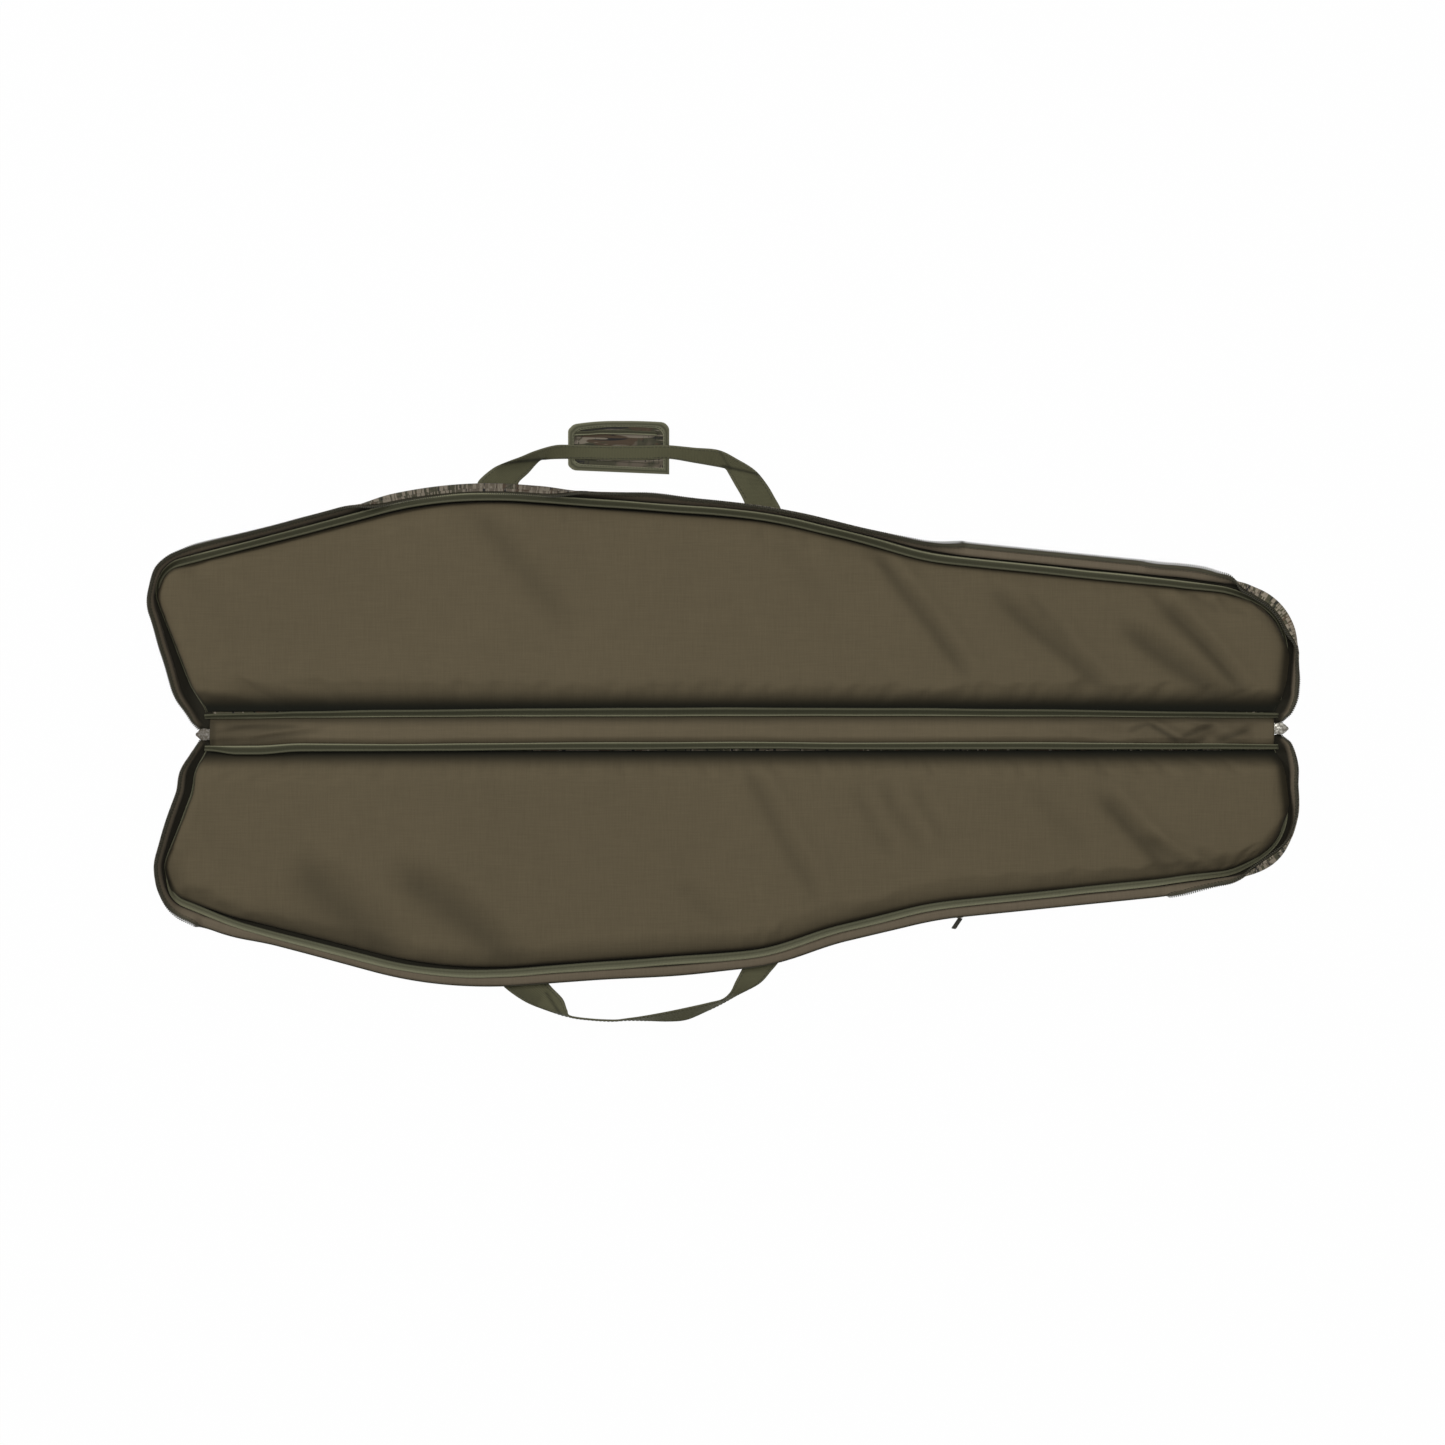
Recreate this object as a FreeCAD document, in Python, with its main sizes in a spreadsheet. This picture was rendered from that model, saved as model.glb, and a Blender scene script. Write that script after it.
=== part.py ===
"""Soft padded long case, opened and laid flat with its lining up.

Frame: X runs along the case, with the butt end at -X and the muzzle end at +X. Y runs across the
spine, with the upper half at +Y and the lower half at -Y. Z points up, away from the surface that
the case lies on. The origin is the middle of the spine's underside. Sizes are in millimetres.
"""
import FreeCAD, Part
import Sketcher
import math
import os

Vector = FreeCAD.Vector
document = FreeCAD.newDocument("soft_long_case")

# Driving sizes: alias and value. The corner places belong to the upper half's pad seam.
DRIVING = [
    ("butt_x", 608),
    ("butt_slant", 60),
    ("butt_y", 171),
    ("butt_radius", 32),
    ("hump_x", 290),
    ("hump_y", 253),
    ("hump_radius", 480),
    ("shoulder_x", 54),
    ("shoulder_y", 228),
    ("shoulder_radius", 480),
    ("waist_x", 223),
    ("waist_y", 188),
    ("waist_radius", 410),
    ("muzzle_x", 600),
    ("muzzle_slant", 15),
    ("muzzle_y", 150),
    ("muzzle_radius", 72),
    ("spine_width", 38),
    ("fold_clearance", 0.2),
    ("seam_clearance", 0.3),
    # cloth and foam
    ("shell_thickness", 1.2),
    ("lining_thickness", 1),
    ("foam_thickness", 14),
    ("pad_setback", 8),
    ("pad_bevel", 7),
    ("spine_foam_thickness", 5),
    ("spine_butt_inset", 10),
    ("spine_muzzle_inset", 6),
    ("shell_margin", 5.1),
    # bound seams
    ("binding_thickness", 3),
    ("binding_height", 9),
    ("spine_binding_height", 7.5),
    # half gusset and its zip
    ("wall_thickness", 1.5),
    ("wall_height", 11.5),
    ("wall_lean", 24),
    ("wall_end_gap", 16),
    ("tape_thickness", 0.8),
    ("tape_height", 5),
    ("coil_width", 3),
    ("coil_height", 2),
    # webbing and handles
    ("web_width", 38),
    ("web_thickness", 1.5),
    ("left_strap_x", 222),
    ("right_strap_x", 43),
    ("handle_clearance", 1.8),
    ("handle_gap", 0.5),
    ("handle_hinge_height", 2),
    ("grip_width", 19),
    ("grip_lift", 3),
    ("upper_reach", 27),
    ("upper_grip_start", 185),
    ("upper_grip_end", 15),
    ("lower_reach", 33),
    ("lower_grip_start", 165),
    ("lower_grip_end", 8),
    ("root_length", 3),
    # handle wrap
    ("wrap_start_x", 163),
    ("wrap_length", 106),
    ("wrap_inset", 6),
    ("wrap_base_width", 32),
    ("wrap_flap_width", 21.5),
    ("wrap_thickness", 3),
    ("wrap_radius", 8),
    ("patch_thickness", 0.8),
    ("patch_length", 80),
    ("patch_width", 16),
    # main zip ends
    ("butt_slider_past", 1),
    ("butt_slider_y", -3.7),
    ("muzzle_slider_past", 5.5),
    ("muzzle_slider_y", 2.6),
    ("slider_length", 17),
    ("slider_width", 12.5),
    ("slider_bottom", 1.6),
    ("slider_height", 5.6),
    ("slider_plate", 1.4),
    ("chain_width", 7),
    ("chain_height", 2.2),
    ("chain_run", 34),
    ("end_tab_length", 8),
    ("pull_length", 15),
    ("pull_width", 6),
    ("pull_thickness", 1),
    ("pull_bottom", 0.3),
    # outside pocket under the lower half
    ("pocket_start", 235),
    ("pocket_length", 272),
    ("pocket_inner_y", 40),
    ("pocket_edge_inset", 4),
    ("pocket_zip_start", 28),
    ("pocket_zip_length", 266),
    ("pocket_tape_width", 4),
    ("pocket_tape_thickness", 0.8),
    ("pocket_tape_bottom", 1.7),
    ("pocket_coil_width", 3),
    ("pocket_coil_height", 2.2),
    ("pocket_slider_start", 1),
    ("pocket_slider_length", 12),
    ("pocket_slider_wall", 0.7),
    ("pocket_pull_gap", 0.6),
    ("pocket_pull_length", 11),
    ("pocket_pull_width", 4),
    ("pocket_pull_thickness", 1.4),
]

# Derived sizes: alias and formula.
DERIVED = [
    ("fold_y", "spine_width / 2"),
    ("butt_seam_x", "butt_x - butt_slant"),
    ("muzzle_seam_x", "muzzle_x - muzzle_slant"),
    ("spine_butt_x", "butt_seam_x - spine_butt_inset"),
    ("spine_muzzle_x", "muzzle_seam_x - spine_muzzle_inset"),
    ("butt_slider_x", "butt_seam_x + butt_slider_past"),
    ("muzzle_slider_x", "muzzle_seam_x + muzzle_slider_past"),
    ("shell_bottom", "web_thickness"),
    ("shell_top", "web_thickness + shell_thickness"),
    ("shell_side_y", "fold_y + fold_clearance"),
    ("lining_inset", "0"),
    ("foam_inset", "-lining_thickness"),
    ("lining_side_y", "fold_y + pad_setback"),
    ("foam_side_y", "lining_side_y + lining_thickness"),
    ("pad_height", "foam_thickness + lining_thickness"),
    ("foam_bevel", "pad_bevel - lining_thickness / 2"),
    ("binding_inner", "seam_clearance"),
    ("binding_outer", "seam_clearance + binding_thickness"),
    ("wall_foot", "binding_outer + seam_clearance"),
    ("wall_outer", "wall_foot + wall_thickness"),
    ("wall_side_y", "fold_y + wall_end_gap"),
    ("wall_spread", "wall_height * tan(wall_lean)"),
    ("tape_foot", "wall_foot + wall_spread + (wall_thickness - tape_thickness) / 2"),
    ("tape_outer", "tape_foot + tape_thickness"),
    ("tape_bottom", "shell_top + wall_height"),
    ("tape_spread", "tape_height * tan(wall_lean)"),
    ("coil_foot", "tape_foot + tape_spread + (tape_thickness - coil_width) / 2"),
    ("coil_outer", "coil_foot + coil_width"),
    ("coil_bottom", "tape_bottom + tape_height"),
    ("spine_side_y", "fold_y - fold_clearance"),
    ("spine_binding_y", "spine_side_y - binding_thickness"),
    ("spine_lining_y", "spine_binding_y - seam_clearance"),
    ("spine_foam_y", "spine_lining_y - lining_thickness"),
    ("spine_pad_height", "spine_foam_thickness + lining_thickness"),
    ("spine_length", "spine_butt_x + spine_muzzle_x"),
    ("handle_root_y", "hump_y + coil_outer + handle_clearance"),
    ("strap_length", "handle_root_y - handle_gap - shell_side_y"),
    ("root_start_y", "handle_root_y + seam_clearance"),
    ("wrap_base_y", "handle_root_y + wrap_inset"),
    ("wrap_hinge_y", "wrap_base_y + wrap_base_width + seam_clearance / 2"),
    ("wrap_flap_y", "wrap_base_y + wrap_base_width + seam_clearance"),
    ("chain_bottom", "slider_bottom + (slider_height - chain_height) / 2"),
    ("pocket_tape_foot", "shell_margin + fold_clearance"),
    ("pocket_coil_foot", "pocket_tape_foot + pocket_tape_width"),
    ("pocket_coil_outer", "pocket_coil_foot + pocket_coil_width"),
    ("pocket_coil_bottom", "pocket_tape_bottom + (pocket_tape_thickness - pocket_coil_height) / 2"),
    ("pocket_slider_foot", "pocket_coil_foot - seam_clearance"),
    ("pocket_slider_width", "pocket_coil_width + 2 * seam_clearance + pocket_slider_wall"),
    ("pocket_channel_foot", "pocket_slider_foot - 1"),
    ("pocket_channel_width", "pocket_coil_width + 2 * seam_clearance + 1"),
    ("pocket_pull_foot", "pocket_slider_foot + pocket_slider_width + pocket_pull_gap"),
    ("pocket_slider_bottom", "pocket_coil_bottom - seam_clearance - pocket_slider_wall"),
    ("pocket_slider_height", "pocket_coil_height + 2 * seam_clearance + 2 * pocket_slider_wall"),
]

sheet = document.addObject("Spreadsheet::Sheet", "Sizes")
for row, (alias, value) in enumerate(DRIVING, start=1):
    sheet.set(f"A{row}", alias)
    sheet.set(f"B{row}", str(value))
    sheet.setAlias(f"B{row}", alias)
document.recompute()
for row, (alias, formula) in enumerate(DERIVED, start=1):
    angle_formula = formula.replace("tan(wall_lean)", "tan(wall_lean * 1deg)")
    sheet.set(f"D{row}", alias)
    sheet.set(f"E{row}", "=" + angle_formula)
    sheet.setAlias(f"E{row}", alias)
document.recompute()


def size(alias):
    """The value of one named size."""
    return float(sheet.get(alias))


def bind(thing, place, formula):
    """Ties one property of an object to the sheet; formula names sizes as <alias>."""
    text = formula.replace("<", "Sizes.").replace(">", "")
    thing.setExpression(place, text)


nodes = {}


def keep(name, thing):
    """Names a finished sub-part, which is exported under that name."""
    thing.Label = name
    nodes[name] = thing
    return thing


# ---------------------------------------------------------------- outlines

UPPER = 1
LOWER = -1


def pad_corners():
    """The pad seam's corners on the upper half, from the butt's fold end to the muzzle's."""
    fold = size("fold_y")
    corners = [(-size("butt_seam_x"), fold, None)]
    corners.append((-size("butt_x"), size("butt_y"), "butt_radius"))
    corners.append((-size("hump_x"), size("hump_y"), "hump_radius"))
    corners.append((size("shoulder_x"), size("shoulder_y"), "shoulder_radius"))
    corners.append((size("waist_x"), size("waist_y"), "waist_radius"))
    corners.append((size("muzzle_x"), size("muzzle_y"), "muzzle_radius"))
    corners.append((size("muzzle_seam_x"), fold, None))
    return corners


def crossing(first, second):
    """Where two lines meet; each is a point and a direction."""
    (p, u), (q, v) = first, second
    across = u.x * v.y - u.y * v.x
    along = ((q.x - p.x) * v.y - (q.y - p.y) * v.x) / across
    return p + u * along


def parallel_corners(offset, side_y):
    """The corners of the outline that runs parallel to the pad seam, closed along y = side_y."""
    corners = pad_corners()
    sides = []
    for (x0, y0, _), (x1, y1, _) in zip(corners, corners[1:]):
        direction = (Vector(x1, y1, 0) - Vector(x0, y0, 0)).normalize()
        outward = Vector(-direction.y, direction.x, 0)
        sides.append((Vector(x0, y0, 0) + outward * offset, direction))
    closing = (Vector(0, side_y, 0), Vector(1, 0, 0))
    lines = [closing] + sides + [closing]
    return [crossing(a, b) for a, b in zip(lines, lines[1:])]


def draw_outline(sketch, offset_name, side_name, half, setback=0.0):
    """Draws the outline parallel to the pad seam: straight sides joined by tangent arcs."""
    offset = size(offset_name)
    points = parallel_corners(offset, size(side_name) - setback)
    radii = [corner[2] for corner in pad_corners()]
    points = [Vector(p.x, p.y * half, 0) for p in points]
    last = len(points) - 1
    starts, ends, arcs = [points[0]], [], []
    for before, corner, after, radius_name in zip(points, points[1:], points[2:], radii[1:]):
        into = (corner - before).normalize()
        out = (after - corner).normalize()
        turn = (into.x * out.y - into.y * out.x) * half
        grow = offset if turn < 0 else -offset
        radius = size(radius_name) + grow
        reach = radius * math.tan(into.getAngle(out) / 2)
        left = Vector(-into.y, into.x, 0) * (1 if turn * half > 0 else -1)
        arc_start = corner - into * reach
        arc_end = corner + out * reach
        arcs.append((arc_start, arc_end, arc_start + left * radius, radius, radius_name, turn))
        ends.append(arc_start)
        starts.append(arc_end)
    ends.append(points[last])
    line_ids = [sketch.addGeometry(Part.LineSegment(a, b)) for a, b in zip(starts, ends)]
    closing = sketch.addGeometry(Part.LineSegment(points[last], points[0]))
    for number, (arc_start, arc_end, centre, radius, radius_name, turn) in enumerate(arcs):
        counter_clockwise = turn * half > 0
        first, second = (arc_start, arc_end) if counter_clockwise else (arc_end, arc_start)
        from_angle = math.atan2(first.y - centre.y, first.x - centre.x)
        to_angle = math.atan2(second.y - centre.y, second.x - centre.x)
        circle = Part.Circle(centre, Vector(0, 0, 1), radius)
        arc = sketch.addGeometry(Part.ArcOfCircle(circle, from_angle, to_angle))
        near, far = (1, 2) if counter_clockwise else (2, 1)
        sketch.addConstraint(Sketcher.Constraint("Coincident", line_ids[number], 2, arc, near))
        sketch.addConstraint(Sketcher.Constraint("Coincident", arc, far, line_ids[number + 1], 1))
        held = sketch.addConstraint(Sketcher.Constraint("Radius", arc, radius))
        sign = "+" if turn < 0 else "-"
        bind(sketch, f"Constraints[{held}]", f"<{radius_name}> {sign} <{offset_name}>")
    sketch.addConstraint(Sketcher.Constraint("Coincident", line_ids[-1], 2, closing, 1))
    sketch.addConstraint(Sketcher.Constraint("Coincident", closing, 2, line_ids[0], 1))
    sketch.addConstraint(Sketcher.Constraint("Horizontal", closing))


# ---------------------------------------------------------------- building blocks


def new_body(label):
    """An empty body."""
    return document.addObject("PartDesign::Body", label + "_body")


def flat_sketch(body, name):
    """A sketch on the body's own XY plane."""
    sketch = body.newObject("Sketcher::SketchObject", name)
    planes = {plane.Role: plane for plane in body.Origin.OriginFeatures}
    sketch.AttachmentSupport = [(planes["XY_Plane"], "")]
    sketch.MapMode = "FlatFace"
    return sketch


def pad(body, sketch, height, lean=None):
    """Extrudes a sketch upwards, leaning outwards by a named angle."""
    feature = body.newObject("PartDesign::Pad", sketch.Name + "_pad")
    feature.Profile = sketch
    bind(feature, "Length", height)
    if lean:
        bind(feature, "TaperAngle", f"<{lean}>")
    sketch.Visibility = False
    return feature


def hollow(body, sketch, height, lean=None):
    """Cuts a sketch upwards through the body and proves that it took material away."""
    before = body.Tip.Shape.Volume
    feature = body.newObject("PartDesign::Pocket", sketch.Name + "_pocket")
    feature.Profile = sketch
    feature.Reversed = True
    bind(feature, "Length", height)
    if lean:
        bind(feature, "TaperAngle", f"<{lean}>")
    document.recompute()
    if feature.Shape.Volume > 0.99 * before:
        raise RuntimeError(f"{feature.Name} cuts nothing")
    return feature


def top_edges(shape):
    """The names of the edges in a shape's highest plane."""
    top = shape.BoundBox.ZMax
    flat = [e.BoundBox.ZMin > top - 0.001 for e in shape.Edges]
    return [f"Edge{number}" for number, is_flat in enumerate(flat, start=1) if is_flat]


def bevel_top(body, amount):
    """Bevels every top edge of a body."""
    document.recompute()
    base = body.Tip
    feature = body.newObject("PartDesign::Chamfer", base.Name + "_bevel")
    feature.Base = (base, top_edges(base.Shape))
    bind(feature, "Size", amount)
    return feature


def panel(name, half, offset, side, bottom, height, bevel=None):
    """A flat panel of the case's outline, with its top edge bevelled where that is named."""
    body = new_body(name)
    sketch = flat_sketch(body, name + "_outline")
    draw_outline(sketch, offset, side, half)
    pad(body, sketch, height)
    if bevel:
        bevel_top(body, bevel)
    bind(body, "Placement.Base.z", bottom)
    return body


def rim(name, half, inner, outer, side, bottom, height, lean=None):
    """A strip that stands round the pad and is open along the spine."""
    body = new_body(name)
    outside = flat_sketch(body, name + "_outside")
    draw_outline(outside, outer, side, half)
    pad(body, outside, height, lean)
    document.recompute()
    inside = flat_sketch(body, name + "_inside")
    draw_outline(inside, inner, side, half, setback=3 * size("wall_end_gap"))
    hollow(body, inside, height, lean)
    bind(body, "Placement.Base.z", bottom)
    return body


def block(name, length, width, height, x, y, z):
    """A box whose sizes and place are formulas."""
    box = document.addObject("Part::Box", name + "_box")
    places = ("Length", "Width", "Height", "Placement.Base.x", "Placement.Base.y", "Placement.Base.z")
    for place, formula in zip(places, (length, width, height, x, y, z)):
        bind(box, place, formula)
    return box


def across(half, near, width):
    """The low y of a strip that starts near the spine and reaches outwards by width."""
    return near if half == UPPER else f"-({near}) - ({width})"


def cut(name, base, tool):
    """One solid less another."""
    feature = document.addObject("Part::Cut", name + "_cut")
    feature.Base = base
    feature.Tool = tool
    return feature


def fuse(name, pieces):
    """Several solids joined into one."""
    feature = document.addObject("Part::MultiFuse", name + "_fuse")
    feature.Shapes = pieces
    feature.Refine = True
    return feature


# ---------------------------------------------------------------- the two halves


def build_half(prefix, half):
    """Shell, foam, lining, bound seam, half gusset, zip half and straps of one half."""
    shell = panel(
        prefix + "_shell", half, "shell_margin", "shell_side_y", "<shell_bottom>", "<shell_thickness>"
    )
    keep(prefix + "_shell", shell)
    foam = panel(
        prefix + "_foam", half, "foam_inset", "foam_side_y",
        "<shell_top>", "<foam_thickness>", "<foam_bevel>",
    )
    keep(prefix + "_foam", foam)
    cover = panel(
        prefix + "_lining", half, "lining_inset", "lining_side_y",
        "<shell_top>", "<pad_height>", "<pad_bevel>",
    )
    keep(prefix + "_lining", cut(prefix + "_lining", cover, copy_of(foam, prefix + "_foam_space")))
    binding = rim(
        prefix + "_binding", half, "binding_inner", "binding_outer", "lining_side_y",
        "<shell_top>", "<binding_height>",
    )
    keep(prefix + "_binding", binding)
    wall = rim(
        prefix + "_wall", half, "wall_foot", "wall_outer", "wall_side_y",
        "<shell_top>", "<wall_height>", "wall_lean",
    )
    keep(prefix + "_wall", wall)
    tape = rim(
        prefix + "_zip_tape", half, "tape_foot", "tape_outer", "wall_side_y",
        "<tape_bottom>", "<tape_height>", "wall_lean",
    )
    keep(prefix + "_zip_tape", tape)
    coil = rim(
        prefix + "_zip_coil", half, "coil_foot", "coil_outer", "wall_side_y",
        "<coil_bottom>", "<coil_height>",
    )
    keep(prefix + "_zip_coil", coil)
    for which, middle in (("left", "-<left_strap_x>"), ("right", "<right_strap_x>")):
        name = f"{prefix}_{which}_strap"
        low_y = across(half, "<shell_side_y>", "<strap_length>")
        strap = block(
            name, "<web_width>", "<strap_length>", "<web_thickness>",
            f"{middle} - <web_width> / 2", low_y, "0",
        )
        keep(name, strap)


def copy_of(source, name):
    """A linked copy of a solid, for use as a cutting tool."""
    binder = document.addObject("Part::Refine", name)
    binder.Source = source
    return binder


# ---------------------------------------------------------------- spine


def build_spine():
    """The flat strip between the two folds, with its own shell, foam, lining and bound seams."""
    start = "-<spine_butt_x>"
    shell = block(
        "spine_shell", "<spine_length>", "2 * <spine_side_y>", "<shell_thickness>",
        start, "-<spine_side_y>", "0",
    )
    keep("spine_shell", shell)
    foam = block(
        "spine_foam", "<spine_length> - 2 * <lining_thickness>", "2 * <spine_foam_y>",
        "<spine_foam_thickness>",
        start + " + <lining_thickness>", "-<spine_foam_y>", "<shell_thickness>",
    )
    keep("spine_foam", foam)
    cover = block(
        "spine_lining_cover", "<spine_length>", "2 * <spine_lining_y>", "<spine_pad_height>",
        start, "-<spine_lining_y>", "<shell_thickness>",
    )
    keep("spine_lining", cut("spine_lining", cover, copy_of(foam, "spine_foam_space")))
    for prefix, half in (("upper", UPPER), ("lower", LOWER)):
        name = f"spine_{prefix}_binding"
        low_y = across(half, "<spine_binding_y>", "<binding_thickness>")
        ridge = block(
            name, "<spine_length>", "<binding_thickness>", "<spine_binding_height>",
            start, low_y, "<shell_thickness>",
        )
        keep(name, ridge)


# ---------------------------------------------------------------- main zip ends


def build_zip_end(prefix, direction):
    """End tab, closed chain end, slider and pull at one end of the spine."""
    sign = "-" if direction < 0 else ""
    middle_x = f"{sign}<{prefix}_slider_x>"
    middle_y = f"<{prefix}_slider_y>"
    half_chain = "<chain_run> / 2"
    tab_x = {-1: f"{middle_x} - {half_chain}", 1: f"{middle_x} + {half_chain} - <end_tab_length>"}
    tab = block(
        prefix + "_end_tab", "<end_tab_length>", "<slider_width>", "<chain_bottom>",
        tab_x[direction], f"{middle_y} - <slider_width> / 2", "0",
    )
    keep(prefix + "_end_tab", tab)
    spine_end = {-1: "-<spine_butt_x>", 1: "<spine_muzzle_x>"}[direction]
    chain_x = {-1: tab_x[-1], 1: spine_end + " + <seam_clearance>"}
    chain_length = f"<{prefix}_slider_x> + {half_chain} - <spine_{prefix}_x> - <seam_clearance>"
    chain = block(
        prefix + "_chain_end", chain_length, "<chain_width>", "<chain_height>",
        chain_x[direction], f"{middle_y} - <chain_width> / 2", "<chain_bottom>",
    )
    keep(prefix + "_chain_end", chain)
    keep(prefix + "_slider", main_slider(prefix, middle_x, middle_y))
    pull = block(
        prefix + "_pull", "<pull_length>", "<pull_width>", "<pull_thickness>",
        f"{middle_x} - <pull_length> / 2", f"{middle_y} - <pull_width> / 2", "<pull_bottom>",
    )
    keep(prefix + "_pull", pull)


def main_slider(prefix, middle_x, middle_y):
    """A zip slider: two plates with side flanges round the chain's channel."""
    case = block(
        prefix + "_slider_case", "<slider_length>", "<slider_width>", "<slider_height>",
        f"{middle_x} - <slider_length> / 2", f"{middle_y} - <slider_width> / 2", "<slider_bottom>",
    )
    channel_width = "<chain_width> + 2 * <seam_clearance>"
    channel = block(
        prefix + "_slider_channel", "<slider_length> + 2", channel_width,
        "<slider_height> - 2 * <slider_plate>",
        f"{middle_x} - <slider_length> / 2 - 1", f"{middle_y} - ({channel_width}) / 2",
        "<slider_bottom> + <slider_plate>",
    )
    return cut(prefix + "_slider", case, channel)


# ---------------------------------------------------------------- handles


def loop_outline(prefix, half):
    """The corners of a flat carrying loop seen from above, from the left leg's outer root."""
    root = size("handle_root_y")
    near = root + size("root_length") + size("seam_clearance")
    middle = root + size(prefix + "_reach")
    half_leg = size("web_width") / 2
    half_grip = size("grip_width") / 2
    left, right = -size("left_strap_x"), size("right_strap_x")
    start, end = -size(prefix + "_grip_start"), size(prefix + "_grip_end")
    low = root + size("seam_clearance")
    corners = [(left - half_leg, low), (left - half_leg, near)]
    corners += [(start - half_grip, middle + half_grip), (end + half_grip, middle + half_grip)]
    corners += [(right + half_leg, near), (right + half_leg, low), (right - half_leg, low)]
    corners += [(right - half_leg, near), (end - half_grip, middle - half_grip)]
    corners += [(start + half_grip, middle - half_grip), (left + half_leg, near), (left + half_leg, low)]
    return [Vector(x, y * half, 0) for x, y in corners]


def build_handle(prefix, half):
    """A carrying loop of webbing: a flat loop on two folded roots."""
    body = new_body(prefix + "_loop")
    sketch = flat_sketch(body, prefix + "_loop_outline")
    corners = loop_outline(prefix, half)
    for first, second in zip(corners, corners[1:] + corners[:1]):
        sketch.addGeometry(Part.LineSegment(first, second))
    for number in range(len(corners)):
        following = (number + 1) % len(corners)
        sketch.addConstraint(Sketcher.Constraint("Coincident", number, 2, following, 1))
    pad(body, sketch, "<web_thickness>")
    bind(body, "Placement.Base.z", "<grip_lift>")
    roots = []
    for which, middle in (("left", "-<left_strap_x>"), ("right", "<right_strap_x>")):
        root = block(
            f"{prefix}_{which}_root", "<web_width>", "<root_length>", "<grip_lift> + <web_thickness>",
            f"{middle} - <web_width> / 2", across(half, "<root_start_y>", "<root_length>"), "0",
        )
        roots.append(root)
    keep(prefix + "_handle", fuse(prefix + "_handle", [body] + roots))


def build_wrap():
    """The padded wrap round the upper handle: a base under the webbing and a flap that folds over."""
    parts = (("base", "<wrap_base_y>", "<wrap_base_width>"), ("flap", "<wrap_flap_y>", "<wrap_flap_width>"))
    for which, low_y, width in parts:
        lift = "<patch_thickness>"
        plate = block(
            "wrap_" + which, "<wrap_length>", width, "<wrap_thickness> - <patch_thickness>",
            "-<wrap_start_x>", low_y, lift,
        )
        keep("wrap_" + which, plate)
        patch_y = f"{low_y} + ({width} - <patch_width>) / 2"
        patch = block(
            which + "_patch", "<patch_length>", "<patch_width>", "<patch_thickness>",
            "-<wrap_start_x> + (<wrap_length> - <patch_length>) / 2", patch_y, "0",
        )
        keep({"base": "wrap_loop_patch", "flap": "wrap_hook_patch"}[which], patch)


# ---------------------------------------------------------------- outside pocket


def pocket_edge(offset):
    """Start and direction of the straight edge between waist and muzzle on the lower half."""
    corners = parallel_corners(offset, size("fold_y"))
    start = Vector(corners[4].x, -corners[4].y, 0)
    end = Vector(corners[5].x, -corners[5].y, 0)
    return start, (end - start).normalize()


def along_edge(name, inner, width, start, length, bottom, height):
    """A straight strip that runs along the pocket's zip edge, inner to outer as offsets."""
    origin, direction = pocket_edge(size(inner))
    box = document.addObject("Part::Box", name + "_box")
    bind(box, "Length", length)
    bind(box, "Width", width)
    bind(box, "Height", height)
    place = origin + direction * start
    across_edge = Vector(direction.y, -direction.x, 0)
    low = place + across_edge * box_width(width)
    turn = FreeCAD.Rotation(Vector(1, 0, 0), direction)
    box.Placement = FreeCAD.Placement(Vector(low.x, low.y, 0), turn)
    bind(box, "Placement.Base.z", bottom)
    return box


def box_width(formula):
    """The value of a width that is a sum of named sizes."""
    names = [word.strip(" <>") for word in formula.split("+")]
    return sum(size(name) for name in names)


def build_pocket():
    """A flat outside pocket with its own zip along the case's edge."""
    origin, direction = pocket_edge(-size("pocket_edge_inset"))
    slope = direction.y / direction.x
    left = size("pocket_start")
    right = left + size("pocket_length")
    inner = -size("pocket_inner_y")
    body = new_body("pocket_panel")
    sketch = flat_sketch(body, "pocket_outline")
    corners = [(left, inner), (right, inner)]
    corners += [(x, origin.y + slope * (x - origin.x)) for x in (right, left)]
    points = [Vector(x, y, 0) for x, y in corners]
    for first, second in zip(points, points[1:] + points[:1]):
        sketch.addGeometry(Part.LineSegment(first, second))
    for number in range(4):
        sketch.addConstraint(Sketcher.Constraint("Coincident", number, 2, (number + 1) % 4, 1))
    pad(body, sketch, "<web_thickness>")
    keep("pocket_panel", body)

    start = size("pocket_zip_start")
    tape = along_edge(
        "pocket_zip_tape", "pocket_tape_foot", "<pocket_tape_width>", start,
        "<pocket_zip_length>", "<pocket_tape_bottom>", "<pocket_tape_thickness>",
    )
    keep("pocket_zip_tape", tape)
    coil = along_edge(
        "pocket_zip_coil", "pocket_coil_foot", "<pocket_coil_width>", start,
        "<pocket_zip_length>", "<pocket_coil_bottom>", "<pocket_coil_height>",
    )
    keep("pocket_zip_coil", coil)

    start += size("pocket_slider_start")
    case = along_edge(
        "pocket_slider_case", "pocket_slider_foot", "<pocket_slider_width>", start,
        "<pocket_slider_length>", "<pocket_slider_bottom>", "<pocket_slider_height>",
    )
    channel = along_edge(
        "pocket_slider_channel", "pocket_channel_foot", "<pocket_channel_width>", start - 1,
        "<pocket_slider_length> + 2", "<pocket_slider_bottom> + <pocket_slider_wall>",
        "<pocket_coil_height> + 2 * <seam_clearance>",
    )
    keep("pocket_slider", cut("pocket_slider", case, channel))
    start += (size("pocket_slider_length") - size("pocket_pull_width")) / 2
    pull = along_edge(
        "pocket_pull", "pocket_pull_foot", "<pocket_pull_length>", start,
        "<pocket_pull_width>", "<pocket_coil_bottom>", "<pocket_pull_thickness>",
    )
    keep("pocket_pull", pull)


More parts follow.
